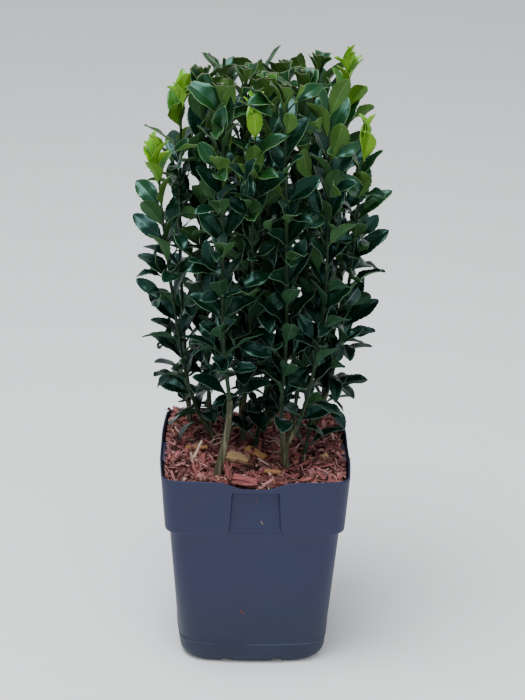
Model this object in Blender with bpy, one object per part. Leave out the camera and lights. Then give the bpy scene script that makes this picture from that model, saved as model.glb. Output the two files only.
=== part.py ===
"""A clipped, many-stemmed evergreen spindle in a square nursery pot.

The pot holds bark mulch. Seven woody stems rise from the mulch, fork into boughs, and each
stem or bough carries one leafy shoot of opposite leaf pairs. Metres, +Z up, with the origin
at the centre of the pot's flat underside. The front of the pot faces -Y.
"""

import math
import random

import bmesh
import bpy
import numpy as np
from mathutils import Euler, Quaternion, Vector
from mathutils.bvhtree import BVHTree
from mathutils.geometry import interpolate_bezier

MM = 0.001
GAP = 0.0003

# Pot
POT_HEIGHT = 0.148
RIM_WIDTH = 0.130
COLLAR_HEIGHT = 0.0415
COLLAR_FOOT_WIDTH = 0.1246
BODY_TOP_WIDTH = 0.1184
BASE_WIDTH = 0.1046
WALL = 0.0013
FLOOR = 0.0016
RIM_CORNER = 0.011
BASE_CORNER = 0.020
FOOT_CORNER = 0.026
FOOT_HEIGHT = 0.0095
FOOT_INSET = 0.0045
FOOT_TURNS = (0, 40, 90)
SIDE_BOW = 0.0022
LEDGE_EDGE = 0.0015
LEDGE_TURN = 0.0025
RECESS_HALF = 0.0160
RECESS_STEP = 0.0007
RECESS_PROUD = 0.0010
RECESS_DRAFT = 0.0015
LIP_HEIGHT = 0.008
LIP_STEP = 0.001
DIP_DEPTH = 0.0045
DIP_HALF = 0.029
SLOT_WIDTH = 0.008
SLOT_HEIGHT = 0.003
SLOT_OFFSET = 0.018
SLOT_DEPTH = 0.0095

# Mulch
FILL_GAP = 0.0004
MULCH_LEVEL = 0.1395
CHIP_COUNT = 46
CHIP_LIMIT = 0.0560
CHIP_RISE = 0.0055
CHIP_SEED = 5
CHIP_LENGTHS = (0.007, 0.017)
CHIP_SLENDERNESS = (0.3, 0.5)
CHIP_THICKNESSES = (0.0014, 0.0026)
CHIP_LIFTS = (0.0002, 0.0012)
CHIP_LEANS = (0.25, 0.3)
CHIP_OFF_STEM = 0.0022
CHIP_CORNER_LIMIT = 1.3 * CHIP_LIMIT

# Shrub
CLIP_HEIGHT = 0.277
INTERNODE = 0.0143
LEAF_LENGTH = 0.0305
LEAF_WIDTH = 0.0160
LEAF_THICK = 0.0010
LEAF_FOLD = 0.0023
LEAF_WIDEST = 0.56
LEAF_THICKEST = 0.45
LEAF_DROP = 0.05
LEAF_SUNK = 0.0002
LEAF_CLEAR = 0.00035
SHOOT_REACH = 0.034
LOW_REACH = 0.014
YOUNG_REACH = 0.038
SPREAD_AT_FOOT = 54
SPREAD_LOST_UP = 22
SPREAD_LOST_YOUNG = 22
SPREAD_GAINED_LOW = 18
SPREAD_SCATTER = 10
TURN_SCATTER = 0.16
NODE_SCATTER = 0.12
SIDE_TWIG_SHARE = 0.03
SIDE_TWIG_PAIRS = 2
TWIG_FOOT_RADIUS = 0.0019
TWIG_TIP_RADIUS = 0.0009
LINE_STEPS = 16
RIM_CLEAR = 0.001
CHIP_CLEAR = 0.0005

# Each stem: where its foot stands on the mulch, and its radius there, in mm
STEMS = {
    "front": ((-26.6, -39.5), 2.9),
    "left": ((-27.7, 22.0), 2.3),
    "back_left": ((-46.5, 43.0), 2.1),
    "middle": ((-7.4, 21.0), 2.4),
    "right": ((22.0, -25.0), 2.8),
    "back_right": ((43.0, 45.0), 2.4),
    "back": ((11.0, 47.0), 2.4),
}

# Each shoot, in mm and degrees: its stem, the height of its fork (None where the stem itself
# carries it), three points that its line passes through, the height of its first leaves, the
# turn of its first leaf pair, how its top ends, and its seed. Heights are above the mulch.
SHOOTS = {
    "front": ("front", None, (-18.5, -40, 50), (-23.5, -43, 112), (-25, -44, 277), 56, 175, "clipped", 11),
    "centre_front": ("middle", 20, (-7, -8, 61), (-5, -34, 132), (-4, -41, 258), 44, 255, "young", 12),
    "right_front": ("right", None, (17.5, -29, 47), (19, -38, 126), (14, -45, 277), 36, 285, "clipped", 13),
    "left": ("left", None, (-47, 11, 47), (-61.5, -2, 142), (-69, -5, 219), 22, 225, "young", 14),
    "right_edge": ("back_right", None, (55, 17, 57), (62.5, -6, 132), (70, -9, 236), 37, 5, "young", 15),
    "right_fore": ("right", 15, (35, -27, 55), (45, -31, 136), (44, -26, 262), 33, 215, "leafy", 16),
    "left_inner": ("left", 9, (-34, 22, 55), (-39, 9, 142), (-37, 5, 277), 31, 240, "clipped", 17),
    "back_left": ("back_left", None, (-50, 35, 55), (-54, 18, 154), (-53, 12, 258), 27, 280, "young", 18),
    "centre": ("middle", 8, (8, 7, 51), (7, -12, 144), (3, -18, 276), 32, 240, "clipped", 19),
    "right_inner": ("right", 11, (29, -8, 53), (32, -4, 149), (27, 0, 277), 32, 300, "clipped", 20),
    "middle": ("middle", None, (-11, 17, 53), (-12, 9, 154), (-10, 7, 277), 29, 255, "clipped", 21),
    "back_right": ("back_right", 13, (55, 44, 59), (60, 34, 154), (59, 27, 274), 34, 310, "young", 22),
    "back_middle": ("back", None, (8, 50, 53), (5, 51, 154), (1, 47, 263), 28, 225, "leafy", 23),
    "back_inner": ("back", 10, (15, 33, 55), (15, 27, 154), (14, 25, 276), 31, 280, "clipped", 24),
    "rear_right": ("back", 15, (30, 52, 59), (38, 51, 154), (40, 47, 277), 34, 250, "clipped", 25),
    "rear_left": ("back_left", 11, (-33, 48, 59), (-28, 50, 154), (-25, 48, 265), 29, 215, "clipped", 26),
}

# Two low sprouts from the base: foot, tip, turn of the first leaf pair and seed
SPROUTS = {
    "sprout_right": ((34.0, -15.0), (39.5, -8.5, 31), 190, 31),
    "sprout_middle": ((0.5, 1.5), (2.5, -2.0, 26), 175, 32),
}
SPROUT_BARE = 0.0085
SPROUT_RADIUS = 0.0013


def over_mulch(x, y, height=0.0):
    """A point from its place in mm, with its height above the mulch."""
    return Vector((x * MM, y * MM, MULCH_LEVEL + height * MM))


def clear_scene():
    for obj in list(bpy.data.objects):
        bpy.data.objects.remove(obj)


def new_collection(name):
    made = bpy.data.collections.new(name)
    bpy.context.scene.collection.children.link(made)
    return made


def material(name, colour, roughness):
    made = bpy.data.materials.new(name)
    made.use_nodes = True
    shader = made.node_tree.nodes["Principled BSDF"]
    shader.inputs["Base Color"].default_value = (*colour, 1.0)
    shader.inputs["Roughness"].default_value = roughness
    return made


def mesh_object(name, points, faces, surface, home):
    mesh = bpy.data.meshes.new(name)
    mesh.from_pydata([tuple(point) for point in points], [], faces)
    mesh.materials.append(surface)
    made = bpy.data.objects.new(name, mesh)
    home.objects.link(made)
    return made


def loft(rings):
    """Joins rings of equal count by quads and closes both ends."""
    count = len(rings[0])
    points = [point for ring in rings for point in ring]
    faces = [tuple(reversed(range(count)))]
    for level in range(len(rings) - 1):
        low = level * count
        for k in range(count):
            after = (k + 1) % count
            faces.append((low + k, low + after, low + count + after, low + count + k))
    faces.append(tuple(range(len(points) - count, len(points))))
    return points, faces


def unite(target, pieces, home, solver="EXACT"):
    """Fuses the pieces to the target by one union, then removes them and any loose scrap."""
    for piece in pieces:
        piece.hide_render = True
        piece.display_type = "WIRE"
    joint = target.modifiers.new("union", "BOOLEAN")
    joint.operation = "UNION"
    joint.operand_type = "COLLECTION"
    joint.collection = home
    joint.solver = solver
    graph = bpy.context.evaluated_depsgraph_get()
    fused = bpy.data.meshes.new_from_object(target.evaluated_get(graph))
    target.modifiers.clear()
    target.data = fused
    for piece in pieces:
        bpy.data.objects.remove(piece)
    keep_largest_body(fused)


def keep_largest_body(mesh):
    """Drops loose scraps and fills sealed hollows, which are bodies of their own in the mesh."""
    body = bmesh.new()
    body.from_mesh(mesh)
    unseen = set(body.verts)
    groups = []
    while unseen:
        group = set()
        edge = [unseen.pop()]
        while edge:
            vertex = edge.pop()
            group.add(vertex)
            for link in vertex.link_edges:
                other = link.other_vert(vertex)
                if other in unseen:
                    unseen.remove(other)
                    edge.append(other)
        groups.append(group)
    groups.sort(key=len)
    for group in groups[:-1]:
        bmesh.ops.delete(body, geom=list(group), context="VERTS")
    bmesh.ops.recalc_face_normals(body, faces=body.faces)
    body.to_mesh(mesh)
    body.free()


# The pot and what fills it


def outline(half, radius, inset=0.0, recess=RECESS_HALF, bow=SIDE_BOW):
    """Points round a square with rounded corners and bowed sides, each with its place along
    its side. The middle of each side, as far as the recess reaches, stands back by the inset."""
    straight = half - radius
    outermost = min(DIP_HALF, 0.9 * straight)
    stations = (-outermost, -recess, RECESS_STEP - recess, 0.0)
    stations += tuple(-place for place in reversed(stations[:-1]))
    points = []
    for side in range(4):
        turn = side * math.pi / 2
        across = Vector((math.sin(turn), -math.cos(turn), 0.0))
        along = Vector((math.cos(turn), math.sin(turn), 0.0))
        for step in range(5):
            lean = math.radians(22.5 * step)
            corner = -along * (straight + radius * math.cos(lean))
            points.append((corner + across * (straight + radius * math.sin(lean)), half))
        for place in stations:
            sunk = inset if abs(place) < recess - RECESS_STEP / 2 else 0.0
            out = half + bow * (1 - (place / straight) ** 2) - sunk
            points.append((across * out + along * place, abs(place)))
    return points


def rim_dip(place):
    """How far the rim lies below its corners, at a distance from the middle of a side."""
    return DIP_DEPTH * (1 - min(place / DIP_HALF, 1.0) ** 2)


def ring_at(height, half, radius, inset=0.0, dipped=False, recess=RECESS_HALF, bow=SIDE_BOW):
    return [
        Vector((point.x, point.y, height - (rim_dip(place) if dipped else 0.0)))
        for point, place in outline(half, radius, inset, recess, bow)
    ]


def foot_rings(floor=0.0, draw=0.0, recess=RECESS_HALF):
    """The rounded foot, from the floor up. Its corners are rounder than the body's, and its
    sides bow less towards the floor."""
    rings = []
    for turn in FOOT_TURNS:
        up = 1 - math.cos(math.radians(turn))
        out = math.sin(math.radians(turn))
        half = BASE_WIDTH / 2 - draw - FOOT_INSET * (1 - out)
        corner = BASE_CORNER + (FOOT_CORNER - BASE_CORNER) * (1 - out) - draw
        height = floor + FOOT_HEIGHT * up
        rings.append(ring_at(height, half, corner, recess=recess, bow=SIDE_BOW * out))
    return rings


def collar_half(height):
    """Half of the collar's width at a height."""
    part = (height - POT_HEIGHT + COLLAR_HEIGHT) / COLLAR_HEIGHT
    return (COLLAR_FOOT_WIDTH + (RIM_WIDTH - COLLAR_FOOT_WIDTH) * part) / 2


def recess_inset(height):
    """How far the middle panel of a side stands back from the corner panels at a height."""
    part = (height - POT_HEIGHT + COLLAR_HEIGHT) / COLLAR_HEIGHT
    plane = BODY_TOP_WIDTH / 2 + RECESS_PROUD + RECESS_DRAFT * part
    return collar_half(height) - plane


def outer_rings():
    ledge = POT_HEIGHT - COLLAR_HEIGHT
    edge = LEDGE_EDGE
    turned = ledge + LEDGE_TURN
    recess_top = POT_HEIGHT - LIP_HEIGHT
    return foot_rings() + [
        ring_at(ledge, BODY_TOP_WIDTH / 2, RIM_CORNER),
        ring_at(ledge, collar_half(ledge) - edge, RIM_CORNER, recess_inset(ledge) - edge),
        ring_at(turned, collar_half(turned), RIM_CORNER, recess_inset(turned)),
        ring_at(recess_top, collar_half(recess_top), RIM_CORNER, recess_inset(recess_top)),
        ring_at(recess_top + LIP_STEP, collar_half(recess_top), RIM_CORNER),
        ring_at(POT_HEIGHT, RIM_WIDTH / 2, RIM_CORNER, dipped=True),
    ]


def inner_rings(spare=0.0, top=None):
    """The inside of the wall, from the floor up, drawn in by a spare distance. It ends at the
    height top, or at the rim."""
    ledge = POT_HEIGHT - COLLAR_HEIGHT + WALL + spare
    recess_top = POT_HEIGHT - LIP_HEIGHT + WALL
    draw = WALL + spare
    foot = collar_half(ledge) - draw - 0.0010
    panel = BODY_TOP_WIDTH / 2 + RECESS_PROUD - draw
    wide = RECESS_HALF + draw
    corner = RIM_CORNER - WALL
    rings = foot_rings(FLOOR + spare, draw, wide) + [
        ring_at(ledge, BODY_TOP_WIDTH / 2 - draw, corner, recess=wide),
        ring_at(ledge, foot, corner, foot - panel, recess=wide),
    ]
    if top is not None:
        half = collar_half(top) - draw
        rings.append(ring_at(top, half, corner, half - panel - 0.0012, recess=wide))
        return rings
    half = collar_half(recess_top) - draw
    step = half - panel - RECESS_DRAFT * 0.8
    lip = recess_top + 0.0012
    rings.append(ring_at(recess_top, half, corner, step, recess=wide))
    rings.append(ring_at(lip, collar_half(lip) - draw, corner, recess=wide))
    rings.append(ring_at(POT_HEIGHT, RIM_WIDTH / 2 - draw, corner, dipped=True, recess=wide))
    return rings


def make_pot(home, helpers, surface):
    points, faces = loft(outer_rings() + list(reversed(inner_rings())))
    pot = mesh_object("pot", points, faces, surface, home)
    slots = new_collection("slot cutters")
    for side in range(4):
        for hand in (-1, 1):
            bpy.ops.mesh.primitive_cube_add(size=1.0)
            cutter = bpy.context.object
            cutter.name = f"slot_{side}_{hand}"
            turn = side * math.pi / 2
            out = BASE_WIDTH / 2 + SIDE_BOW + LIP_STEP - SLOT_DEPTH / 2
            cutter.scale = (SLOT_WIDTH, SLOT_DEPTH, 2 * SLOT_HEIGHT)
            cutter.rotation_euler = (0.0, 0.0, turn)
            place = Vector((hand * SLOT_OFFSET, -out, 0.0))
            place.rotate(Euler((0.0, 0.0, turn)))
            cutter.location = place
            cutter.hide_render = True
            cutter.display_type = "WIRE"
            for user in list(cutter.users_collection):
                user.objects.unlink(cutter)
            slots.objects.link(cutter)
    cut = pot.modifiers.new("slots", "BOOLEAN")
    cut.operation = "DIFFERENCE"
    cut.operand_type = "COLLECTION"
    cut.collection = slots
    helpers.children.link(slots)
    bpy.context.scene.collection.children.unlink(slots)
    return pot


def chip_box(name, centre, size, turn, surface, home):
    bpy.ops.mesh.primitive_cube_add(size=1.0, location=centre, rotation=turn)
    chip = bpy.context.object
    chip.name = name
    chip.scale = size
    chip.data.materials.append(surface)
    for user in list(chip.users_collection):
        user.objects.unlink(chip)
    home.objects.link(chip)
    bpy.context.view_layer.update()
    return chip


def chip_corners(centre, size, turn):
    frame = Euler(turn).to_matrix()
    corners = []
    for signs in np.ndindex(2, 2, 2):
        half = Vector([(sign - 0.5) * length for sign, length in zip(signs, size)])
        corners.append(Vector(centre) + frame @ half)
    return corners


def chip_fits(corners, feet):
    """Inside the wall, no higher than the other chips, and clear of every stem's foot."""
    low = [min(corner[k] for corner in corners) for k in range(3)]
    high = [max(corner[k] for corner in corners) for k in range(3)]
    if max(high[0], high[1], -low[0], -low[1]) > CHIP_LIMIT:
        return False
    if math.hypot(max(high[0], -low[0]), max(high[1], -low[1])) > CHIP_CORNER_LIMIT:
        return False
    if high[2] > MULCH_LEVEL + CHIP_RISE or low[2] > MULCH_LEVEL - GAP:
        return False
    for (x, y), radius in feet:
        near_x = min(max(x, low[0]), high[0])
        near_y = min(max(y, low[1]), high[1])
        if math.hypot(x - near_x, y - near_y) < radius + CHIP_OFF_STEM:
            return False
    return True


# Chips that stand out: centre, length, width and thickness in mm, and turns in degrees
MARKED_CHIPS = (
    ((-7.5, -62.6, 8.1), (17.5, 8.0, 2.2), (15, 7, -6)),
    ((-7.5, -54.6, 4.1), (11.0, 8.4, 9.0), (14, 4, 8)),
    ((-11.9, -14.0, 2.7), (17.0, 6.0, 3.2), (8, 6, -14)),
    ((7.5, -9.5, 2.9), (16.0, 5.5, 2.4), (10, 12, -28)),
    ((11.5, -39.0, 2.1), (11.0, 4.0, 2.0), (6, 3, -3)),
    ((-50.5, 51.5, 7.0), (14.0, 6.0, 3.0), (10, 52, 130)),
    ((-44.0, 54.0, 5.0), (12.0, 5.0, 3.0), (20, 40, 60)),
    ((-53.0, 44.0, 4.0), (10.0, 6.0, 3.0), (-12, 35, 95)),
)


def make_mulch(home, helpers, surface):
    points, faces = loft(inner_rings(FILL_GAP, MULCH_LEVEL))
    mulch = mesh_object("mulch", points, faces, surface, home)
    bed = new_collection("chips")
    chips = []
    for number, (centre, size, turn) in enumerate(MARKED_CHIPS):
        where = over_mulch(*centre)
        lengths = [length * MM for length in size]
        turns = [math.radians(angle) for angle in turn]
        chips.append(chip_box(f"marked_{number}", where, lengths, turns, surface, bed))
    feet = [((x * MM, y * MM), radius * MM) for (x, y), radius in STEMS.values()]
    feet += [((x * MM, y * MM), SPROUT_RADIUS) for (x, y), *_ in SPROUTS.values()]
    rng = random.Random(CHIP_SEED)
    for number in range(CHIP_COUNT):
        length = rng.uniform(*CHIP_LENGTHS)
        size = (length, rng.uniform(*CHIP_SLENDERNESS) * length, rng.uniform(*CHIP_THICKNESSES))
        x = rng.uniform(-CHIP_LIMIT, CHIP_LIMIT)
        y = rng.uniform(-CHIP_LIMIT, CHIP_LIMIT)
        centre = (x, y, MULCH_LEVEL + rng.uniform(*CHIP_LIFTS))
        turn = [rng.uniform(-lean, lean) for lean in CHIP_LEANS] + [rng.uniform(0, math.pi)]
        if chip_fits(chip_corners(centre, size, turn), feet):
            chips.append(chip_box(f"chip_{number}", centre, size, turn, surface, bed))
    unite(mulch, chips, bed)
    bpy.data.collections.remove(bed)
    return mulch


# Limbs and shoots


class Line:
    """A smooth line through a few points, read by the distance along it."""

    def __init__(self, points):
        knots = [points[0]] + list(points) + [points[-1]]
        self.points = [points[0]]
        for before, start, end, after in zip(knots, knots[1:], knots[2:], knots[3:]):
            if (end - start).length == 0:
                continue
            out = start + (end - before) / 6
            into = end - (after - start) / 6
            self.points += interpolate_bezier(start, out, into, end, LINE_STEPS)[1:]
        self.far = [0.0]
        for start, end in zip(self.points, self.points[1:]):
            self.far.append(self.far[-1] + (end - start).length)
        self.length = self.far[-1]

    def span(self, distance):
        k = int(np.searchsorted(self.far, distance, side="right")) - 1
        k = min(max(k, 0), len(self.points) - 2)
        return k, (distance - self.far[k]) / (self.far[k + 1] - self.far[k])

    def at(self, distance):
        k, part = self.span(distance)
        return self.points[k].lerp(self.points[k + 1], part)

    def along(self, distance):
        step = 0.004
        low = max(distance - step, 0.0)
        high = min(distance + step, self.length)
        return (self.at(high) - self.at(low)).normalized()

    def distance_at_height(self, height):
        """The distance at which the line is this many mm above the mulch."""
        heights = [point.z for point in self.points]
        return float(np.interp(MULCH_LEVEL + height * MM, heights, self.far))


def cross_axes(along):
    """Two directions square to a line, the first as near +X as can be."""
    first = (Vector((1, 0, 0)) - along * along.x).normalized()
    return first, along.cross(first)


def tube_rings(line, stations, radii, sides, cut=None):
    """Rings square to the line. The first may be cut by a plane, given as point and normal."""
    rings = []
    for distance, radius in zip(stations, radii):
        along = line.along(distance)
        first, second = cross_axes(along)
        centre = line.at(distance)
        ring = []
        for k in range(sides):
            turn = 2 * math.pi * k / sides
            point = centre + (first * math.cos(turn) + second * math.sin(turn)) * radius
            if cut and not rings:
                plane_point, normal = cut
                point += along * ((plane_point - point).dot(normal) / along.dot(normal))
            ring.append(point)
        rings.append(ring)
    return rings


def leaf_points(leaf, grow=0.0, start=None):
    """The six points of a folded leaf: root, left, tip, right, and the midrib above and below.
    grow adds to every side, and start moves the root out along the leaf."""
    root, along, face, length, width = leaf
    side = along.cross(face)
    start = -LEAF_SUNK if start is None else start
    widest = root + along * length * LEAF_WIDEST + face * LEAF_FOLD
    left = widest - side * (width / 2 + grow)
    right = widest + side * (width / 2 + grow)
    tip = root + along * (length + grow) - face * length * LEAF_DROP
    rib = root + along * length * LEAF_THICKEST
    return [
        root + along * start,
        left,
        tip,
        right,
        rib + face * LEAF_THICK / 2,
        rib - face * LEAF_THICK / 2,
    ]


LEAF_FACES = [(0, 4, 1), (0, 3, 4), (2, 1, 4), (2, 4, 3), (0, 1, 5), (0, 5, 3), (2, 5, 1), (2, 3, 5)]


def leaf_guard(leaf, start, grow=LEAF_CLEAR):
    """A fatter leaf: two copies set apart along its face, joined round the rim."""
    points = leaf_points(leaf, grow * 1.4, start)
    lift = leaf[2] * grow
    upper = [point + lift for point in points[:5]]
    lower = [point - lift for point in points[:4]] + [points[5] - lift]
    faces = [(4, 0, 3), (4, 3, 2), (4, 2, 1), (4, 1, 0), (9, 5, 6), (9, 6, 7), (9, 7, 8), (9, 8, 5)]
    faces += [(k, (k + 1) % 4, 5 + (k + 1) % 4, 5 + k) for k in range(4)]
    return upper + lower, faces


class Crowd:
    """What is already placed, so that each new leaf or twig can keep clear of it."""

    def __init__(self):
        self.owners = []
        self.lows = []
        self.highs = []
        self.trees = []

    def add(self, owner, points, faces):
        self.owners.append(owner)
        self.lows.append([min(point[k] for point in points) for k in range(3)])
        self.highs.append([max(point[k] for point in points) for k in range(3)])
        self.trees.append(BVHTree.FromPolygons(points, faces))

    def touches(self, points, faces, owner, own):
        """Whether a shape meets one of its owner's own pieces, or one of another owner's."""
        if not self.trees:
            return False
        low = np.array([min(point[k] for point in points) for k in range(3)])
        high = np.array([max(point[k] for point in points) for k in range(3)])
        near = (np.array(self.lows) <= high) & (np.array(self.highs) >= low)
        tree = None
        for k in np.flatnonzero(near.all(axis=1)):
            if (self.owners[k] == owner) != own:
                continue
            tree = tree or BVHTree.FromPolygons(points, faces)
            if tree.overlap(self.trees[k]):
                return True
        return False


def above_pot(points):
    """Whether a shape stays over the mulch and its chips, and over the rim beyond the wall."""
    for point in points:
        outside = max(abs(point.x), abs(point.y)) > CHIP_LIMIT
        if point.z < (POT_HEIGHT + RIM_CLEAR if outside else MULCH_LEVEL + CHIP_RISE + CHIP_CLEAR):
            return False
    return True


def in_reach(line, tip):
    """Whether a leaf's tip keeps to the space round its own shoot."""
    return min((point - tip).length for point in line.points) < SHOOT_REACH


def try_leaf(crowd, owner, line, leaf):
    """The leaf, or the nearest turn and size of it that keeps clear, or None."""
    root, along, face, length, width = leaf
    side = along.cross(face)
    stem = (along - face).normalized()
    for turn, droop, scale in (
        (0, 0, 1.0),
        (14, 0, 1.0),
        (-14, 0, 1.0),
        (0, 12, 1.0),
        (0, -12, 1.0),
        (26, -6, 0.94),
        (-26, -6, 0.94),
        (0, -18, 0.86),
        (36, 4, 0.86),
        (-36, 4, 0.86),
        (12, -14, 0.74),
        (-12, 14, 0.74),
    ):
        spin = Quaternion(stem, math.radians(turn)) @ Quaternion(side, math.radians(droop))
        tried = (root, spin @ along, spin @ face, length * scale, width * (0.3 + 0.7 * scale))
        points = leaf_points(tried)
        if not above_pot(points) or not in_reach(line, points[2]):
            continue
        if crowd.touches(*leaf_guard(tried, None), owner, own=False):
            continue
        if crowd.touches(*leaf_guard(tried, 0.006, 0.0001), owner, own=True):
            continue
        return tried
    return None


def leaf_at(line, distance, turn, spread, twist, length, width):
    """A leaf that leaves the line at a distance, with its upper face towards the stem."""
    along = line.along(distance)
    first, second = cross_axes(along)
    away = first * math.cos(turn) + second * math.sin(turn)
    out = along * math.cos(spread) + away * math.sin(spread)
    face = along * math.sin(spread) - away * math.cos(spread)
    side = out.cross(face)
    face = face * math.cos(twist) + side * math.sin(twist)
    return line.at(distance), out, face, length, width


def shoot_nodes(shoot_line, start, top, rng, first_turn):
    """Distance, turn, share of height, nearness to a young tip and to the foot for each pair."""
    distance = start
    turn = math.radians(first_turn)
    nodes = []
    while distance < shoot_line.length - 0.002:
        left = shoot_line.length - distance
        young = max(0.0, 1 - left / YOUNG_REACH) if top == "young" else 0.0
        low = 0.0 if top == "sprout" else math.exp((start - distance) / LOW_REACH)
        nodes.append((distance, turn + rng.gauss(0, TURN_SCATTER), distance / shoot_line.length, young, low))
        step = rng.uniform(1 - NODE_SCATTER, 1 + NODE_SCATTER)
        distance += INTERNODE * step * (1 - 0.5 * young)
        turn += math.pi / 2
    return nodes


def pair_leaves(line, node, rng, scale=1.0):
    distance, turn, share, young, low = node
    leaves = []
    for half_turn in (0, math.pi):
        spread = SPREAD_AT_FOOT - SPREAD_LOST_UP * share - SPREAD_LOST_YOUNG * young
        spread = math.radians(spread + SPREAD_GAINED_LOW * low + rng.gauss(0, SPREAD_SCATTER))
        length = LEAF_LENGTH * scale * (1.02 - 0.32 * young) * rng.uniform(0.88, 1.08)
        width = LEAF_WIDTH * scale * (1.0 - 0.24 * young) * rng.uniform(0.92, 1.08)
        twist = rng.gauss(0, TURN_SCATTER)
        aim = turn + half_turn + rng.gauss(0, 0.1)
        leaves.append(leaf_at(line, distance, aim, spread, twist, length, width))
    return leaves


def clip_leaf(leaf, height=MULCH_LEVEL + CLIP_HEIGHT):
    """Shortens a leaf that would reach above the height at which the shrub was clipped."""
    root, along, face, length, width = leaf
    rise = along.z * length
    if root.z + rise <= height or rise <= 0:
        return leaf
    kept = (height - root.z) / rise
    return (root, along, face, max(length * kept, 0.006), width * min(1.0, 0.45 + 0.6 * kept))


def side_twig(line, node, rng, side_turn):
    """A short twig from the joint of a leaf pair, curving up beside its stem."""
    distance, turn, *_ = node
    along = line.along(distance)
    first, second = cross_axes(along)
    aim = turn + side_turn
    away = first * math.cos(aim) + second * math.sin(aim)
    length = rng.uniform(0.024, 0.042)
    foot = line.at(distance)
    bend = foot + (away * 0.62 + along * 0.78) * length * 0.5
    tip = bend + (away * 0.3 + along * 0.95) * length * 0.5
    return Line([foot, bend, tip])


def grow_shoot(name, line, start, first_turn, top, seed, crowd):
    """The twigs and leaves of one shoot: a list of twig lines with radii, and of leaves."""
    rng = random.Random(seed)
    twigs = []
    leaves = []
    nodes = shoot_nodes(line, start, top, rng, first_turn)
    for node in nodes:
        for leaf in pair_leaves(line, node, rng):
            if top == "clipped":
                leaf = clip_leaf(leaf)
            kept = try_leaf(crowd, name, line, leaf)
            if kept:
                crowd.add(name, leaf_points(kept), LEAF_FACES)
                leaves.append(kept)
    for number, node in enumerate(nodes[2:-3]):
        side_rng = random.Random(seed * 100 + number)
        if side_rng.random() > SIDE_TWIG_SHARE:
            continue
        twig = side_twig(line, node, side_rng, side_rng.choice((0, math.pi)))
        radii = (TWIG_TIP_RADIUS * 1.1, TWIG_TIP_RADIUS * 0.7)
        rings = tube_rings(twig, np.linspace(0, twig.length, 3), (radii[0], *radii), 3)
        points, faces = loft(rings)
        guard = tube_rings(twig, (0.0, twig.length / 2, twig.length), (radii[0] * 1.6,) * 3, 3)
        if crowd.touches(*loft(guard), name, own=False):
            continue
        crowd.add(name, points, faces)
        grown = []
        for step in range(1, SIDE_TWIG_PAIRS + 1):
            place = twig.length * step / SIDE_TWIG_PAIRS - 0.001
            turn = side_rng.uniform(-0.3, 0.3) + step * math.pi / 2
            small = (place, turn, node[2], 0.15 * step, 0.0)
            for leaf in pair_leaves(twig, small, side_rng, 0.74):
                if top == "clipped":
                    leaf = clip_leaf(leaf)
                kept = try_leaf(crowd, name, line, leaf)
                if kept:
                    crowd.add(name, leaf_points(kept), LEAF_FACES)
                    grown.append(kept)
        leaves += grown
        twigs.append((twig, radii))
    return twigs, leaves


def shoot_lines():
    """The line of each stem and bough, from its foot or fork to the tip of its shoot."""
    lines = {}
    for name, (stem, fork, knee, waist, tip, *_) in SHOOTS.items():
        if fork is None:
            foot = over_mulch(*STEMS[stem][0])
            lines[name] = Line([foot] + [over_mulch(*point) for point in (knee, waist, tip)])
    for name, (stem, fork, knee, waist, tip, *_) in SHOOTS.items():
        if fork is not None:
            parent = lines[leader_of(stem)]
            foot = parent.at(parent.distance_at_height(fork))
            lines[name] = Line([foot] + [over_mulch(*point) for point in (knee, waist, tip)])
    return lines


def leader_of(stem):
    return next(name for name, row in SHOOTS.items() if row[0] == stem and row[1] is None)


def limb_radius(stem, share):
    """Radius of a stem from its flared foot to its leafy part, share 0 to 1."""
    foot = STEMS[stem][1] * MM
    top = TWIG_FOOT_RADIUS
    flare = 0.3 * math.exp(-share / 0.06)
    return foot * (1 + flare) * (1 - share) + top * share


def make_stem(name, stem, line, end, surface, home):
    shares = (0.0, 0.06, 0.15, 0.4, 0.7, 1.0)
    stations = [end * share for share in shares]
    radii = [limb_radius(stem, share) for share in shares]
    ground = (Vector((0, 0, MULCH_LEVEL + GAP)), Vector((0, 0, 1)))
    points, faces = loft(tube_rings(line, stations, radii, 8, ground))
    return mesh_object(name, points, faces, surface, home)


def make_bough(name, stem, fork, line, parent, end, surface, home):
    """One tapering limb, its foot cut parallel to its stem and 0.3 mm clear of it."""
    fork_distance = parent.distance_at_height(fork)
    stem_end = parent.distance_at_height(SHOOTS[leader_of(stem)][5])
    stem_radius = limb_radius(stem, fork_distance / stem_end)
    stem_along = parent.along(fork_distance)
    lean = line.along(0.004)
    away = (lean - stem_along * lean.dot(stem_along)).normalized()
    face = line.at(0) + away * (stem_radius + GAP)
    near = (stem_radius + GAP) / max(lean.dot(away), 0.25)
    foot_radius = stem_radius * 0.72
    stations = [near, near + foot_radius * 1.6, (near + end) * 0.55, end]
    radii = [foot_radius, foot_radius * 0.94, foot_radius * 0.55 + TWIG_FOOT_RADIUS * 0.45]
    radii.append(TWIG_FOOT_RADIUS * 0.95)
    points, faces = loft(tube_rings(line, stations, radii, 6, (face, away)))
    return mesh_object(name, points, faces, surface, home)


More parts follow.
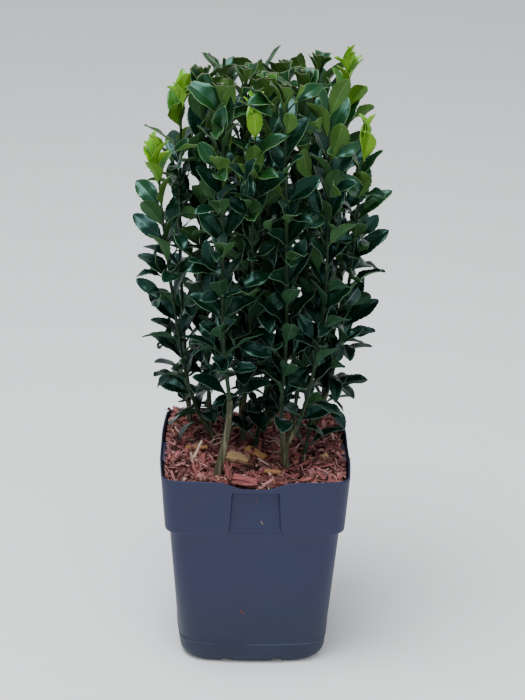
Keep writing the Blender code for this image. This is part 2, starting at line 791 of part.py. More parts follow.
def make_leaves(name, line, start, twigs, leaves, surface, home):
    """Fuses one shoot's stem, side twigs and leaves."""
    stations = np.linspace(start + GAP, line.length, 6)
    radii = np.linspace(TWIG_FOOT_RADIUS, TWIG_TIP_RADIUS, 6)
    points, faces = loft(tube_rings(line, stations, radii, 3))
    mass = mesh_object(name, points, faces, surface, home)
    bunch = new_collection("bunch")
    pieces = []
    for number, (twig, (foot, tip)) in enumerate(twigs):
        rings = tube_rings(twig, np.linspace(0, twig.length, 3), (foot, (foot + tip) / 2, tip), 3)
        pieces.append(mesh_object(f"twig_{number}", *loft(rings), surface, bunch))
    for number, leaf in enumerate(leaves):
        points = leaf_points(leaf)
        pieces.append(mesh_object(f"leaf_{number}", points, LEAF_FACES, surface, bunch))
    unite(mass, pieces, bunch)
    bpy.data.collections.remove(bunch)
    return mass


def main():
    clear_scene()
    home = new_collection("potted spindle shrub")
    helpers = new_collection("cutters")
    plastic = material("pot plastic", (0.046, 0.058, 0.112), 0.55)
    bark_chip = material("bark mulch", (0.23, 0.085, 0.06), 0.9)
    bark = material("stem bark", (0.13, 0.12, 0.06), 0.8)
    foliage = material("foliage", (0.03, 0.10, 0.03), 0.4)

    make_pot(home, helpers, plastic)
    make_mulch(home, helpers, bark_chip)

    lines = shoot_lines()
    crowd = Crowd()
    starts = {name: lines[name].distance_at_height(row[5]) for name, row in SHOOTS.items()}
    for name, (stem, fork, *_) in SHOOTS.items():
        line = lines[name]
        if fork is None:
            made = make_stem(f"stem_{stem}", stem, line, starts[name], bark, home)
        else:
            parent = lines[leader_of(stem)]
            made = make_bough(f"bough_{name}", stem, fork, line, parent, starts[name], bark, home)
        points = [vertex.co.copy() for vertex in made.data.vertices]
        crowd.add(made.name, points, [tuple(face.vertices) for face in made.data.polygons])
        stations = np.linspace(starts[name] + GAP, line.length, 6)
        radii = np.linspace(TWIG_FOOT_RADIUS, TWIG_TIP_RADIUS, 6) * 1.25
        crowd.add(f"leaves_{name}", *loft(tube_rings(line, stations, radii, 3)))
    grown = {}
    for name, row in SHOOTS.items():
        first_turn, top, seed = row[6:]
        owner = f"leaves_{name}"
        start = starts[name] + 0.004
        grown[name] = grow_shoot(owner, lines[name], start, first_turn, top, seed, crowd)
    for name, (foot, tip, first_turn, seed) in SPROUTS.items():
        foot = over_mulch(*foot)
        end = over_mulch(*tip)
        line = Line([foot, foot.lerp(end, 0.5) + Vector((0, 0, 0.001)), end])
        radii = (SPROUT_RADIUS * 1.2, SPROUT_RADIUS, SPROUT_RADIUS * 0.95)
        ground = (Vector((0, 0, MULCH_LEVEL + GAP)), Vector((0, 0, 1)))
        rings = tube_rings(line, np.linspace(0, SPROUT_BARE, 3), radii, 6, ground)
        made = mesh_object(f"stem_{name}", *loft(rings), bark, home)
        lines[name] = line
        starts[name] = SPROUT_BARE
        owner = f"leaves_{name}"
        start = SPROUT_BARE + 0.003
        grown[name] = grow_shoot(owner, line, start, first_turn, "sprout", seed, crowd)
    for name, (twigs, leaves) in grown.items():
        make_leaves(f"leaves_{name}", lines[name], starts[name], twigs, leaves, foliage, home)


main()
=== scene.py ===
"""Looks of a clipped Japanese spindle shrub in a square nursery pot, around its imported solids."""

import math
import random
from collections import namedtuple

import bpy
import numpy as np
from mathutils import Euler, Matrix, Quaternion, Vector, noise
from mathutils.bvhtree import BVHTree
from mathutils.geometry import interpolate_bezier


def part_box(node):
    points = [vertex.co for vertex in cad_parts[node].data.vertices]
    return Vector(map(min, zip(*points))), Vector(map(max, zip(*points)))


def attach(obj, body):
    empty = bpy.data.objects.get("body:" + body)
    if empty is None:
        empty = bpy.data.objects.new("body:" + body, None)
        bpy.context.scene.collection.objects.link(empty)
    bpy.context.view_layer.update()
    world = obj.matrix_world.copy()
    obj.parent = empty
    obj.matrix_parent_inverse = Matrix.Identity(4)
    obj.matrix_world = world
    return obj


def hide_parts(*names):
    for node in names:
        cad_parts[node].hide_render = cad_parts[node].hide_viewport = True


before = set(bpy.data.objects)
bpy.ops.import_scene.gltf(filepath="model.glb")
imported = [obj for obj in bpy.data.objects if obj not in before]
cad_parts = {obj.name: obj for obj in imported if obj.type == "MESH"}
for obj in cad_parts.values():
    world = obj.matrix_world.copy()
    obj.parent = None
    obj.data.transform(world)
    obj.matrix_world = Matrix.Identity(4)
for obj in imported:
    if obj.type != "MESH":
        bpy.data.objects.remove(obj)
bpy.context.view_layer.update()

# The view
# A plain pale floor under soft light from a cloudy sky, seen from a little above the crown.
MM = 0.001
EYE = Vector((-0.0243, -1.1764, 0.6652))
LOOK_DOWN = math.radians(20.75)
LOOK_RIGHT = math.radians(1.39)
ROLL = math.radians(1.11)
FOCAL_PIXELS = 1800
FRAME_HEIGHT_PIXELS = 700
SENSOR_MM = 36
NEAREST_SEEN = 0.05
MIDDLE_OF_PLANT = Vector((0, 0, 0.22))
FLOOR_SIZE = 12
SKY_COLOUR = (0.93, 0.97, 1.0)
SKY_STRENGTH = 0.8
# Each soft light: its place, its width, its watts and its colour
LIGHTS = {
    "sky opening": ((-0.35, -0.35, 1.9), 1.1, 42, (0.95, 0.98, 1.0)),
    "front fill": ((0.7, -1.5, 1.0), 1.2, 6, (1.0, 0.98, 0.95)),
}


def aim_camera():
    data = bpy.data.cameras.new("camera")
    data.sensor_width = SENSOR_MM
    data.lens = FOCAL_PIXELS / FRAME_HEIGHT_PIXELS * SENSOR_MM
    data.clip_start = NEAREST_SEEN
    camera = bpy.data.objects.new("camera", data)
    bpy.context.scene.collection.objects.link(camera)
    level = Vector((math.cos(LOOK_RIGHT), -math.sin(LOOK_RIGHT), 0))
    ahead = Vector((math.sin(LOOK_RIGHT), math.cos(LOOK_RIGHT), 0)) * math.cos(LOOK_DOWN)
    ahead.z = -math.sin(LOOK_DOWN)
    above = level.cross(ahead)
    right = level * math.cos(ROLL) + above * math.sin(ROLL)
    top = above * math.cos(ROLL) - level * math.sin(ROLL)
    turn = Matrix((right, top, -ahead)).transposed().to_4x4()
    camera.matrix_world = Matrix.Translation(EYE) @ turn
    bpy.context.scene.camera = camera


def soft_light(name, place, size, watts, colour):
    data = bpy.data.lights.new(name, "AREA")
    data.shape = "DISK"
    data.size = size
    data.energy = watts
    data.color = colour
    lamp = bpy.data.objects.new(name, data)
    bpy.context.scene.collection.objects.link(lamp)
    lamp.location = place
    towards = MIDDLE_OF_PLANT - Vector(place)
    lamp.rotation_euler = towards.to_track_quat("-Z", "Y").to_euler()


def set_sky(colour, strength):
    world = bpy.data.worlds.new("pale sky")
    world.use_nodes = True
    sky = world.node_tree.nodes["Background"]
    sky.inputs["Color"].default_value = (*colour, 1)
    sky.inputs["Strength"].default_value = strength
    bpy.context.scene.world = world


def new_material(name, roughness, specular=None):
    """A material whose Principled shader waits for its colour, with its nodes' tree."""
    made = bpy.data.materials.new(name)
    made.use_nodes = True
    shader = made.node_tree.nodes["Principled BSDF"]
    shader.inputs["Roughness"].default_value = roughness
    if specular is not None:
        shader.inputs["Specular IOR Level"].default_value = specular
    return made, made.node_tree, shader


def put(tree, kind, inputs=(), **settings):
    """Adds a shader node with its settings, and a wire or a value for each of these inputs."""
    node = tree.nodes.new(f"ShaderNode{kind}")
    for name, value in settings.items():
        setattr(node, name, value)
    for name, value in dict(inputs).items():
        if isinstance(value, bpy.types.NodeSocket):
            tree.links.new(value, node.inputs[name])
        else:
            node.inputs[name].default_value = value
    return node


def ramp_between(tree, mask, dark, light, stops=(0.0, 1.0)):
    """A colour that a mask takes from dark to light between two stops."""
    ramp = put(tree, "ValToRGB", {"Fac": mask})
    for element, stop, colour in zip(ramp.color_ramp.elements, stops, (dark, light)):
        element.position = stop
        element.color = (*colour, 1)
    return ramp.outputs["Color"]


def lay_floor():
    bpy.ops.mesh.primitive_plane_add(size=FLOOR_SIZE)
    floor = bpy.context.object
    floor.name = "floor"
    surface, tree, shader = new_material("pale floor", 0.7)
    grain = put(tree, "TexNoise", {"Scale": 60})
    colour = ramp_between(tree, grain.outputs["Fac"], (0.86, 0.87, 0.88), (0.9, 0.9, 0.9))
    tree.links.new(colour, shader.inputs["Base Color"])
    floor.data.materials.append(surface)


aim_camera()
set_sky(SKY_COLOUR, SKY_STRENGTH)
for light_name, light_row in LIGHTS.items():
    soft_light(light_name, *light_row)
lay_floor()


# The pot
# A square nursery pot, injection moulded in matte dark blue-grey plastic: a tapered body, a
# wide collar with raised corner panels, a lip that dips in the middle of each side, and drain
# slots cut through the edge of its foot.
POT_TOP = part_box("pot")[1].z
RIM_HALF = 0.0650
COLLAR_TALL = 0.0415
COLLAR_FOOT_HALF = 0.0623
BODY_TOP_HALF = 0.0592
BASE_HALF = 0.0523
POT_WALL = 0.0013
FLOOR_THICK = 0.0016
RIM_CORNER = 0.011
BASE_CORNER = 0.020
SIDE_BOW = 0.0022
FOOT_TALL = 0.0095
FOOT_INSET = 0.0045
FOOT_CORNER = 0.026
BEAD_HEIGHT = 0.0157
BEAD_PROUD = 0.0004
# The bead's section: height beside its middle, and how far it stands proud there
BEAD_SECTION = ((-0.0003, 0.0), (-0.0001, BEAD_PROUD), (0.0001, BEAD_PROUD), (0.0005, 0.0))
PANEL_EDGE_TOP = 0.0153
PANEL_EDGE_FOOT = 0.0178
PANEL_ROUND = 0.0050
PANEL_TURN = 0.0006
PANEL_PROUD = 0.0010
PANEL_DRAFT = 0.0015
PANEL_LAP = 0.0007
PANEL_SLOPE = 0.0012
LIP_TALL = 0.0080
LIP_ROUND = 0.0006
COLLAR_TURN = 0.0012
RECESS_STEP = 0.0006
# The recess's end under the lip: height beside its edge, and the share of its depth there
RECESS_EDGE = ((-0.0003, 1.0), (-0.0001, 0.96), (0.0001, 0.05), (0.0003, 0.0))
DIP_DEPTH = 0.0049
DIP_FLAT = 0.0065
DIP_HALF = 0.0262
SLOT_SIZE = (0.008, 0.0095, 0.0078)
SLOT_OFFSET = 0.018
LEDGE = POT_TOP - COLLAR_TALL


def panel_edge(height):
    """Distance from the middle of a side to the edge of its corner panel."""
    part = min(max((height - LEDGE) / COLLAR_TALL, 0.0), 1.0)
    edge = PANEL_EDGE_FOOT + (PANEL_EDGE_TOP - PANEL_EDGE_FOOT) * part
    left = PANEL_ROUND + PANEL_TURN - (height - LEDGE)
    if left > 0:
        left = min(left, PANEL_ROUND)
        edge += PANEL_ROUND - math.sqrt(PANEL_ROUND ** 2 - left ** 2)
    return edge


def smooth(value):
    value = min(max(value, 0.0), 1.0)
    return value * value * (3 - 2 * value)


def side_stations(edge, straight):
    """Places along half of a side, close together where the panel's edge turns."""
    near = [edge + step * MM for step in (1.6, 0.8, 0.5, 0.2, -0.1, -0.4, -0.8)]
    outer = [straight + (near[0] - straight) * k / 6 for k in range(1, 6)]
    inner = [near[-1] * (1 - k / 5) for k in range(1, 5)]
    half = outer + near + inner
    return [-place for place in half] + [0.0] + list(reversed(half))


def dip_share(place):
    """How much of the lip's dip is reached at this distance from the middle of a side."""
    slope = (abs(place) - DIP_FLAT) / (DIP_HALF - DIP_FLAT)
    return 0.5 + 0.5 * math.cos(math.pi * min(max(slope, 0), 1))


def pot_ring(height, half, corner, step=0.0, dip=0.0, bow=SIDE_BOW):
    """One level of the wall. step is how far the middle of each side stands back."""
    edge = panel_edge(height)
    straight = half - corner
    ring = []
    for side in range(4):
        turn = side * math.pi / 2
        across = Vector((math.sin(turn), -math.cos(turn), 0))
        along = Vector((math.cos(turn), math.sin(turn), 0))
        for k in range(10):
            lean = math.radians(10 * k)
            point = across * (straight + corner * math.sin(lean))
            point -= along * (straight + corner * math.cos(lean))
            ring.append((point.x, point.y, height))
        for place in side_stations(edge, straight):
            back = step * smooth((edge + PANEL_LAP - abs(place)) / PANEL_SLOPE)
            out = half + bow * (1 - (place / straight) ** 2) - back
            low = dip * DIP_DEPTH * dip_share(place)
            point = across * out + along * place
            ring.append((point.x, point.y, height - low))
    return ring


def body_half(height):
    return BASE_HALF + (BODY_TOP_HALF - BASE_HALF) * (height - FOOT_TALL) / (LEDGE - FOOT_TALL)


def body_ring(height, proud=0.0):
    share = (height - FOOT_TALL) / (LEDGE - FOOT_TALL)
    corner = BASE_CORNER + (RIM_CORNER - BASE_CORNER) * share
    return pot_ring(height, body_half(height) + proud, corner)


def collar_half(height):
    return COLLAR_FOOT_HALF + (RIM_HALF - COLLAR_FOOT_HALF) * (height - LEDGE) / COLLAR_TALL


def panel_step(height):
    part = (height - LEDGE) / COLLAR_TALL
    return collar_half(height) - BODY_TOP_HALF - PANEL_PROUD - PANEL_DRAFT * part


def foot_ring(degrees, floor=0.0, draw=0.0):
    """One level of the rounded foot, 0 degrees at its flat underside and 90 at its top."""
    lean = math.radians(degrees)
    inward = 1 - math.sin(lean)
    half = BASE_HALF - draw - FOOT_INSET * inward
    corner = BASE_CORNER + (FOOT_CORNER - BASE_CORNER) * inward - draw
    height = floor + (FOOT_TALL - floor) * (1 - math.cos(lean))
    return pot_ring(height, half, corner, bow=SIDE_BOW * math.sin(lean))


def body_rings():
    rings = [foot_ring(degrees) for degrees in range(0, 91, 15)]
    rings.append(body_ring(FOOT_TALL + 0.2 * MM))
    rings += [body_ring(BEAD_HEIGHT + lift, proud) for lift, proud in BEAD_SECTION]
    for k in range(1, 9):
        rings.append(body_ring(BEAD_HEIGHT + (LEDGE - MM - BEAD_HEIGHT) * k / 8))
    return rings


def collar_rings():
    rings = [pot_ring(LEDGE, BODY_TOP_HALF + 0.0004, RIM_CORNER)]
    for degrees in (0, 30, 60, 90):
        lean = math.radians(degrees)
        height = LEDGE + COLLAR_TURN * (1 - math.cos(lean))
        half = COLLAR_FOOT_HALF - COLLAR_TURN * (1 - math.sin(lean))
        rings.append(pot_ring(height, half, RIM_CORNER, half - BODY_TOP_HALF - RECESS_STEP))
    recess_top = POT_TOP - LIP_TALL
    foot = LEDGE + COLLAR_TURN
    heights = [(foot + (recess_top - 0.0008 - foot) * (k / 14) ** 1.9, 1.0) for k in range(1, 15)]
    heights += [(recess_top + lift, share) for lift, share in RECESS_EDGE]
    for height, share in heights:
        rings.append(pot_ring(height, collar_half(height), RIM_CORNER, panel_step(height) * share))
    for k in (0.35, 0.75):
        height = recess_top + (LIP_TALL - LIP_ROUND) * k
        rings.append(pot_ring(height, collar_half(height), RIM_CORNER, dip=k))
    for degrees in range(0, 181, 30):
        lean = math.radians(degrees)
        height = POT_TOP - LIP_ROUND + LIP_ROUND * math.sin(lean)
        half = RIM_HALF - LIP_ROUND + LIP_ROUND * math.cos(lean)
        rings.append(pot_ring(height, half, RIM_CORNER, dip=1))
    return rings


def inner_wall_rings():
    recess_top = POT_TOP - LIP_TALL + POT_WALL
    rings = [pot_ring(recess_top + 0.001, collar_half(recess_top) - POT_WALL, RIM_CORNER, dip=0.3)]
    for height in (recess_top, LEDGE + 0.02, LEDGE + 0.004):
        half = collar_half(height) - POT_WALL
        rings.append(pot_ring(height, half, RIM_CORNER, panel_step(height)))
    rings.append(pot_ring(LEDGE + POT_WALL, BODY_TOP_HALF - POT_WALL, RIM_CORNER))
    rings += [foot_ring(degrees, FLOOR_THICK, POT_WALL) for degrees in (90, 70, 45, 20, 0)]
    return rings


def skin(rings):
    """Joins rings of equal count by quads and closes both ends."""
    count = len(rings[0])
    points = [point for ring in rings for point in ring]
    faces = [tuple(reversed(range(count)))]
    for level in range(len(rings) - 1):
        low = level * count
        for k in range(count):
            after = (k + 1) % count
            faces.append((low + k, low + after, low + count + after, low + count + k))
    faces.append(tuple(range(len(points) - count, len(points))))
    return points, faces


def shaped(name, points, faces, surfaces, sharp_degrees=None):
    """A piece from points and faces, smooth except over edges sharper than an angle."""
    mesh = bpy.data.meshes.new(name)
    mesh.from_pydata([tuple(point) for point in points], [], faces)
    for surface in surfaces:
        mesh.materials.append(surface)
    mesh.shade_smooth()
    if sharp_degrees:
        mesh.set_sharp_from_angle(angle=math.radians(sharp_degrees))
    made = bpy.data.objects.new(name, mesh)
    bpy.context.scene.collection.objects.link(made)
    return made


def cut_slots(pot):
    cutters = []
    for side in range(4):
        for hand in (-1, 1):
            turn = side * math.pi / 2
            bpy.ops.mesh.primitive_cube_add(size=1)
            cutter = bpy.context.object
            place = Vector((hand * SLOT_OFFSET, -BASE_HALF - SIDE_BOW + SLOT_SIZE[1] / 2 - MM, 0))
            place.rotate(Euler((0, 0, turn)))
            cutter.location = place
            cutter.rotation_euler = (0, 0, turn)
            cutter.scale = SLOT_SIZE
            cutters.append(cutter)
    for cutter in cutters:
        cut = pot.modifiers.new("slot", "BOOLEAN")
        cut.object = cutter
        cut.operation = "DIFFERENCE"
    graph = bpy.context.evaluated_depsgraph_get()
    cut_mesh = bpy.data.meshes.new_from_object(pot.evaluated_get(graph))
    pot.modifiers.clear()
    pot.data = cut_mesh
    for cutter in cutters:
        bpy.data.objects.remove(cutter)


def mixed(tree, share, first, second, blend="MIX"):
    """The colour between two others."""
    inputs = {"Factor": share, "A": first, "B": second}
    return put(tree, "Mix", inputs, data_type="RGBA", blend_type=blend).outputs["Result"]


def mottle_group():
    """Fine uneven colour and relief that the pot, the bark and the leaves share."""
    group = bpy.data.node_groups.new("uneven surface", "ShaderNodeTree")
    face = group.interface
    for name, kind, value in (
        ("Scale", "NodeSocketFloat", 100.0),
        ("Stretch", "NodeSocketVector", (1.0, 1.0, 1.0)),
        ("Contrast", "NodeSocketFloat", 1.0),
    ):
        face.new_socket(name, in_out="INPUT", socket_type=kind).default_value = value
    for name in ("Dark", "Light"):
        face.new_socket(name, in_out="INPUT", socket_type="NodeSocketColor")
    face.new_socket("Colour", in_out="OUTPUT", socket_type="NodeSocketColor")
    face.new_socket("Mask", in_out="OUTPUT", socket_type="NodeSocketFloat")
    given = group.nodes.new("NodeGroupInput").outputs
    result = group.nodes.new("NodeGroupOutput").inputs
    place = put(group, "TexCoord").outputs["Object"]
    stretched = put(group, "VectorMath", {0: place, 1: given["Stretch"]}, operation="MULTIPLY")
    grain = {"Vector": stretched.outputs["Vector"], "Scale": given["Scale"]}
    grain = put(group, "TexNoise", grain | {"Detail": 5, "Roughness": 0.62}).outputs["Fac"]
    centred = put(group, "Math", {0: grain, 1: 0.5}, operation="SUBTRACT").outputs["Value"]
    spread = {0: centred, 1: given["Contrast"], 2: 0.5}
    mask = put(group, "Math", spread, operation="MULTIPLY_ADD", use_clamp=True).outputs["Value"]
    group.links.new(mixed(group, mask, given["Dark"], given["Light"]), result["Colour"])
    group.links.new(mask, result["Mask"])
    return group


UNEVEN = mottle_group()


def uneven(tree, scale, dark, light, contrast=1.0, stretch=(1, 1, 1)):
    """Places the shared group with this finish's own values."""
    placed = tree.nodes.new("ShaderNodeGroup")
    placed.node_tree = UNEVEN
    values = {"Scale": scale, "Stretch": stretch, "Contrast": contrast}
    for name, value in (values | {"Dark": (*dark, 1), "Light": (*light, 1)}).items():
        placed.inputs[name].default_value = value
    return placed.outputs["Colour"], placed.outputs["Mask"]


def set_surface(tree, shader, colour, relief, depth, strength=1.0):
    """Gives a surface its colour and, from a mask, its fine relief."""
    bump = put(tree, "Bump", {"Distance": depth, "Strength": strength, "Height": relief})
    tree.links.new(colour, shader.inputs["Base Color"])
    tree.links.new(bump.outputs["Normal"], shader.inputs["Normal"])


def pot_plastic():
    """Blue plastic that turns greyer and darker low down, with specks of dust and a painted highlight along
    the bead.
    """
    made, tree, shader = new_material("matte pot plastic", 0.5, 0.28)
    blue, broad = uneven(tree, 22, (0.0158, 0.0180, 0.0560), (0.0210, 0.0234, 0.0705), 1.6, (1, 1, 0.5))
    grain, fine = uneven(tree, 900, (0.93, 0.93, 0.93), (1.07, 1.07, 1.07), 1.5)
    slate, patches = uneven(tree, 14, (0.0130, 0.0185, 0.0400), (0.0185, 0.0250, 0.0510), 2.0)
    dust = uneven(tree, 650, (0, 0, 0), (1, 1, 1))[1]
    # The plastic turns greyer and darker towards the bottom of the pot, and in broad patches.
    place = put(tree, "TexCoord").outputs["Object"]
    height = put(tree, "SeparateXYZ", {"Vector": place}).outputs["Z"]
    low = put(tree, "MapRange", {"Value": height, "From Min": 0.075, "From Max": 0.005})
    greyer_low = {0: patches, 1: 0.5, 2: low.outputs["Result"]}
    greyer_low = put(tree, "Math", greyer_low, operation="MULTIPLY_ADD", use_clamp=True).outputs["Value"]
    speck = put(tree, "MapRange", {"Value": dust, "From Min": 0.765, "From Max": 0.80, "To Max": 0.7})
    colour = mixed(tree, greyer_low, blue, slate)
    colour = mixed(tree, speck.outputs["Result"], colour, (0.10, 0.12, 0.17, 1))
    colour = mixed(tree, 1.0, colour, grain, "MULTIPLY")
    # Painted highlight: a pale line along the bead, where light catches its top.
    bead = put(tree, "Math", {0: height, 1: BEAD_HEIGHT + 0.0002, 2: 0.0005}, operation="COMPARE")
    painted_bead_highlight = put(tree, "MapRange", {"Value": broad, "From Min": 0.38, "From Max": 0.52, "To Max": 0.6})
    painted_bead_highlight = {0: bead.outputs["Value"], 1: painted_bead_highlight.outputs["Result"]}
    painted_bead_highlight = put(tree, "Math", painted_bead_highlight, operation="MULTIPLY").outputs["Value"]
    colour = mixed(tree, painted_bead_highlight, colour, (0.050, 0.062, 0.100, 1))
    gloss = put(tree, "MapRange", {"Value": broad, "To Min": 0.42, "To Max": 0.6})
    tree.links.new(gloss.outputs["Result"], shader.inputs["Roughness"])
    set_surface(tree, shader, colour, fine, 0.00006, 0.6)
    return made


def make_pot():
    points, faces = skin(body_rings() + collar_rings() + inner_wall_rings())
    pot = shaped("nursery_pot", points, faces, [pot_plastic()])
    cut_slots(pot)
    pot.data.shade_smooth()
    pot.data.set_sharp_from_angle(angle=math.radians(50))
    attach(pot, "root")
    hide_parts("pot")


make_pot()


# The bark mulch
# Shredded conifer bark and wood, dyed by its own tannin, tipped loose over the potting mix:
# long fibrous chips in every direction, some standing against the wall and the stems.
MULCH_LEVEL = 0.1395
CHIP_TOTAL = 1300
SPLINTER_TOTAL = 1900
SPLINTER_WIDTH = 0.0013
# The section of a chip and of a splinter, and the stops along each where it is drawn
CHIP_OUTLINE = ((-1, -0.7), (0, -1), (1, -0.7), (1, 0.6), (0.1, 1), (-1, 0.6))
CHIP_STOPS = (0.0, 0.1, 0.35, 0.65, 0.9, 1.0)
SPLINTER_OUTLINE = ((-1, -0.8), (1, -0.8), (0.8, 0.8), (-0.9, 0.7))
SPLINTER_STOPS = (0.0, 0.2, 0.8, 1.0)
END_SLIMNESS = (0.35, 0.85)
BODY_SLIMNESS = (0.82, 1.08)
END_THINNESS = 0.6
BED_DEPTH = 0.0022
BED_RINGS = 22
BED_HALF = collar_half(MULCH_LEVEL) - POT_WALL - 0.0004
CHIP_REACH = BED_HALF - 0.0008
RECESS_BACK = 0.0034
LUMPS_PER_METRE = 55
LUMP_HEIGHT = 0.0016
CORNER_HEAP = 0.0030
WALL_HEAP = 0.0044
DIP_LOSS = 0.0022
STRAND_WIDTH = 0.0024
STRAND_LAP = 1.15
ROOTLET_THICK = 0.0006
STRAND_THICK = 0.0007
CHIP_SEED = 7

# Chips that stand out: centre and size in mm, turns in degrees, wood, and whether sawn square
MARKED_CHIPS = (
    ((-7.5, -62.0, 8.3), (17.5, 7.6, 2.4), (15, 7, -6), "red", False),
    ((-11.9, -16.0, 4.4), (17.5, 6.8, 4.6), (14, 8, -14), "tan", True),
    ((0.5, -7.5, 4.6), (20.0, 5.2, 2.6), (18, 14, -34), "orange", True),
    ((12.0, -39.0, 4.2), (12.0, 3.4, 2.0), (10, 3, -3), "orange", True),
    ((-41.5, 1.5, 5.0), (17.0, 2.6, 2.0), (4, -4, -3), "orange", True),
    ((-40.6, -10.0, 8.0), (16.0, 1.5, 1.0), (10, -35, 61), "pale", False),
    ((50.0, -15.0, 5.0), (6.6, 5.6, 1.6), (28, 6, 42), "tan", True),
    ((-35.5, -52.5, 5.6), (13.0, 3.4, 1.6), (8, 14, -32), "rosy", False),
    ((-50.5, 51.5, 9.4), (16.0, 6.0, 3.2), (10, 52, 130), "rosy", False),
    ((-44.0, 54.0, 7.0), (13.0, 5.0, 3.0), (20, 40, 60), "rosy", False),
    ((-53.5, 44.0, 6.4), (12.0, 6.0, 3.0), (-12, 38, 95), "red", False),
    ((-19.0, -43.5, 6.4), (13.0, 4.6, 2.0), (30, -38, 104), "red", False),
)


def fibre_wood(name, dark, light):
    """Bark or wood whose fibres run along each chip, with painted light that makes it paler towards the
    back.
    """
    made, tree, shader = new_material(name, 0.85, 0.12)
    run = put(tree, "UVMap", uv_map="fibre").outputs["UV"]
    spread = put(tree, "Mapping", {"Vector": run, "Scale": (0.12, 1.6, 1)}).outputs["Vector"]
    fibres = put(tree, "TexNoise", {"Vector": spread, "Scale": 1.0, "Detail": 4}).outputs["Fac"]
    place = put(tree, "TexCoord").outputs["Object"]
    # Painted light: the chips' colour is lifted towards the back of the pot.
    depth = put(tree, "SeparateXYZ", {"Vector": place}).outputs["Y"]
    painted_back_light = {"Value": depth, "From Min": -0.045, "From Max": 0.045, "To Min": -0.03, "To Max": 0.17}
    painted_back_light = put(tree, "MapRange", painted_back_light).outputs["Result"]
    mask = put(tree, "Math", {0: painted_back_light, 1: fibres}).outputs["Value"]
    colour = ramp_between(tree, mask, dark, light, (0.3, 0.68))
    set_surface(tree, shader, colour, fibres, 0.0005, 0.9)
    return made


WOODS = {
    "red": fibre_wood("red bark", (0.082, 0.018, 0.020), (0.45, 0.158, 0.150)),
    "brown": fibre_wood("brown bark", (0.045, 0.016, 0.016), (0.27, 0.112, 0.106)),
    "rosy": fibre_wood("rosy bark", (0.150, 0.054, 0.054), (0.60, 0.300, 0.280)),
    "dark": fibre_wood("dark bark", (0.012, 0.004, 0.0045), (0.085, 0.032, 0.032)),
    "orange": fibre_wood("orange wood", (0.26, 0.115, 0.045), (0.52, 0.275, 0.125)),
    "tan": fibre_wood("tan wood", (0.28, 0.16, 0.075), (0.56, 0.38, 0.21)),
    "pale": fibre_wood("pale splinter wood", (0.36, 0.22, 0.17), (0.70, 0.52, 0.43)),
}
WOOD_NAMES = list(WOODS)
CHIP_SHARES = (30, 26, 20, 20, 1.5, 1, 2)
SPLINTER_SHARES = (26, 26, 24, 14, 2, 2, 6)


def bed_height(x, y):
    """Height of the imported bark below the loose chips, in metres over the mulch level."""
    lumps = noise.noise(Vector((x * LUMPS_PER_METRE, y * LUMPS_PER_METRE, 2.0))) * LUMP_HEIGHT
    corner = smooth((-x - 0.018) / 0.035) * smooth((y - 0.018) / 0.035)
    wall = smooth((max(abs(x), abs(y)) - 0.038) / 0.020)
    dip = dip_share(min(abs(x), abs(y)))
    return lumps + corner * CORNER_HEAP + wall * (WALL_HEAP - DIP_LOSS * dip) - BED_DEPTH * 0.4


def make_bed():
    """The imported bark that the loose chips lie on, drawn as a filling of the pot."""
    rings = [foot_ring(degrees, FLOOR_THICK + 0.0004, POT_WALL + 0.0004) for degrees in (0, 90)]
    for height in (LEDGE, LEDGE + 0.002):
        rings.append(pot_ring(height, BODY_TOP_HALF - POT_WALL - 0.0005, RIM_CORNER))
    level = MULCH_LEVEL - 0.003
    edge = pot_ring(level, BED_HALF - 0.0004, RIM_CORNER, panel_step(level))
    for k in range(BED_RINGS):
        share = (1 - k / BED_RINGS) ** 0.9
        places = [(x * share, y * share) for x, y, _ in edge]
        rings.append([(x, y, MULCH_LEVEL - BED_DEPTH + bed_height(x, y)) for x, y in places])
    made, tree, shader = new_material("packed bark", 0.9)
    colour, mask = uneven(tree, 260, (0.012, 0.006, 0.005), (0.11, 0.040, 0.030), 2.4)
    set_surface(tree, shader, colour, mask, 0.0012)
    bed = shaped("packed_bark", *skin(rings), [made], 60)
    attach(bed, "root")
    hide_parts("mulch")


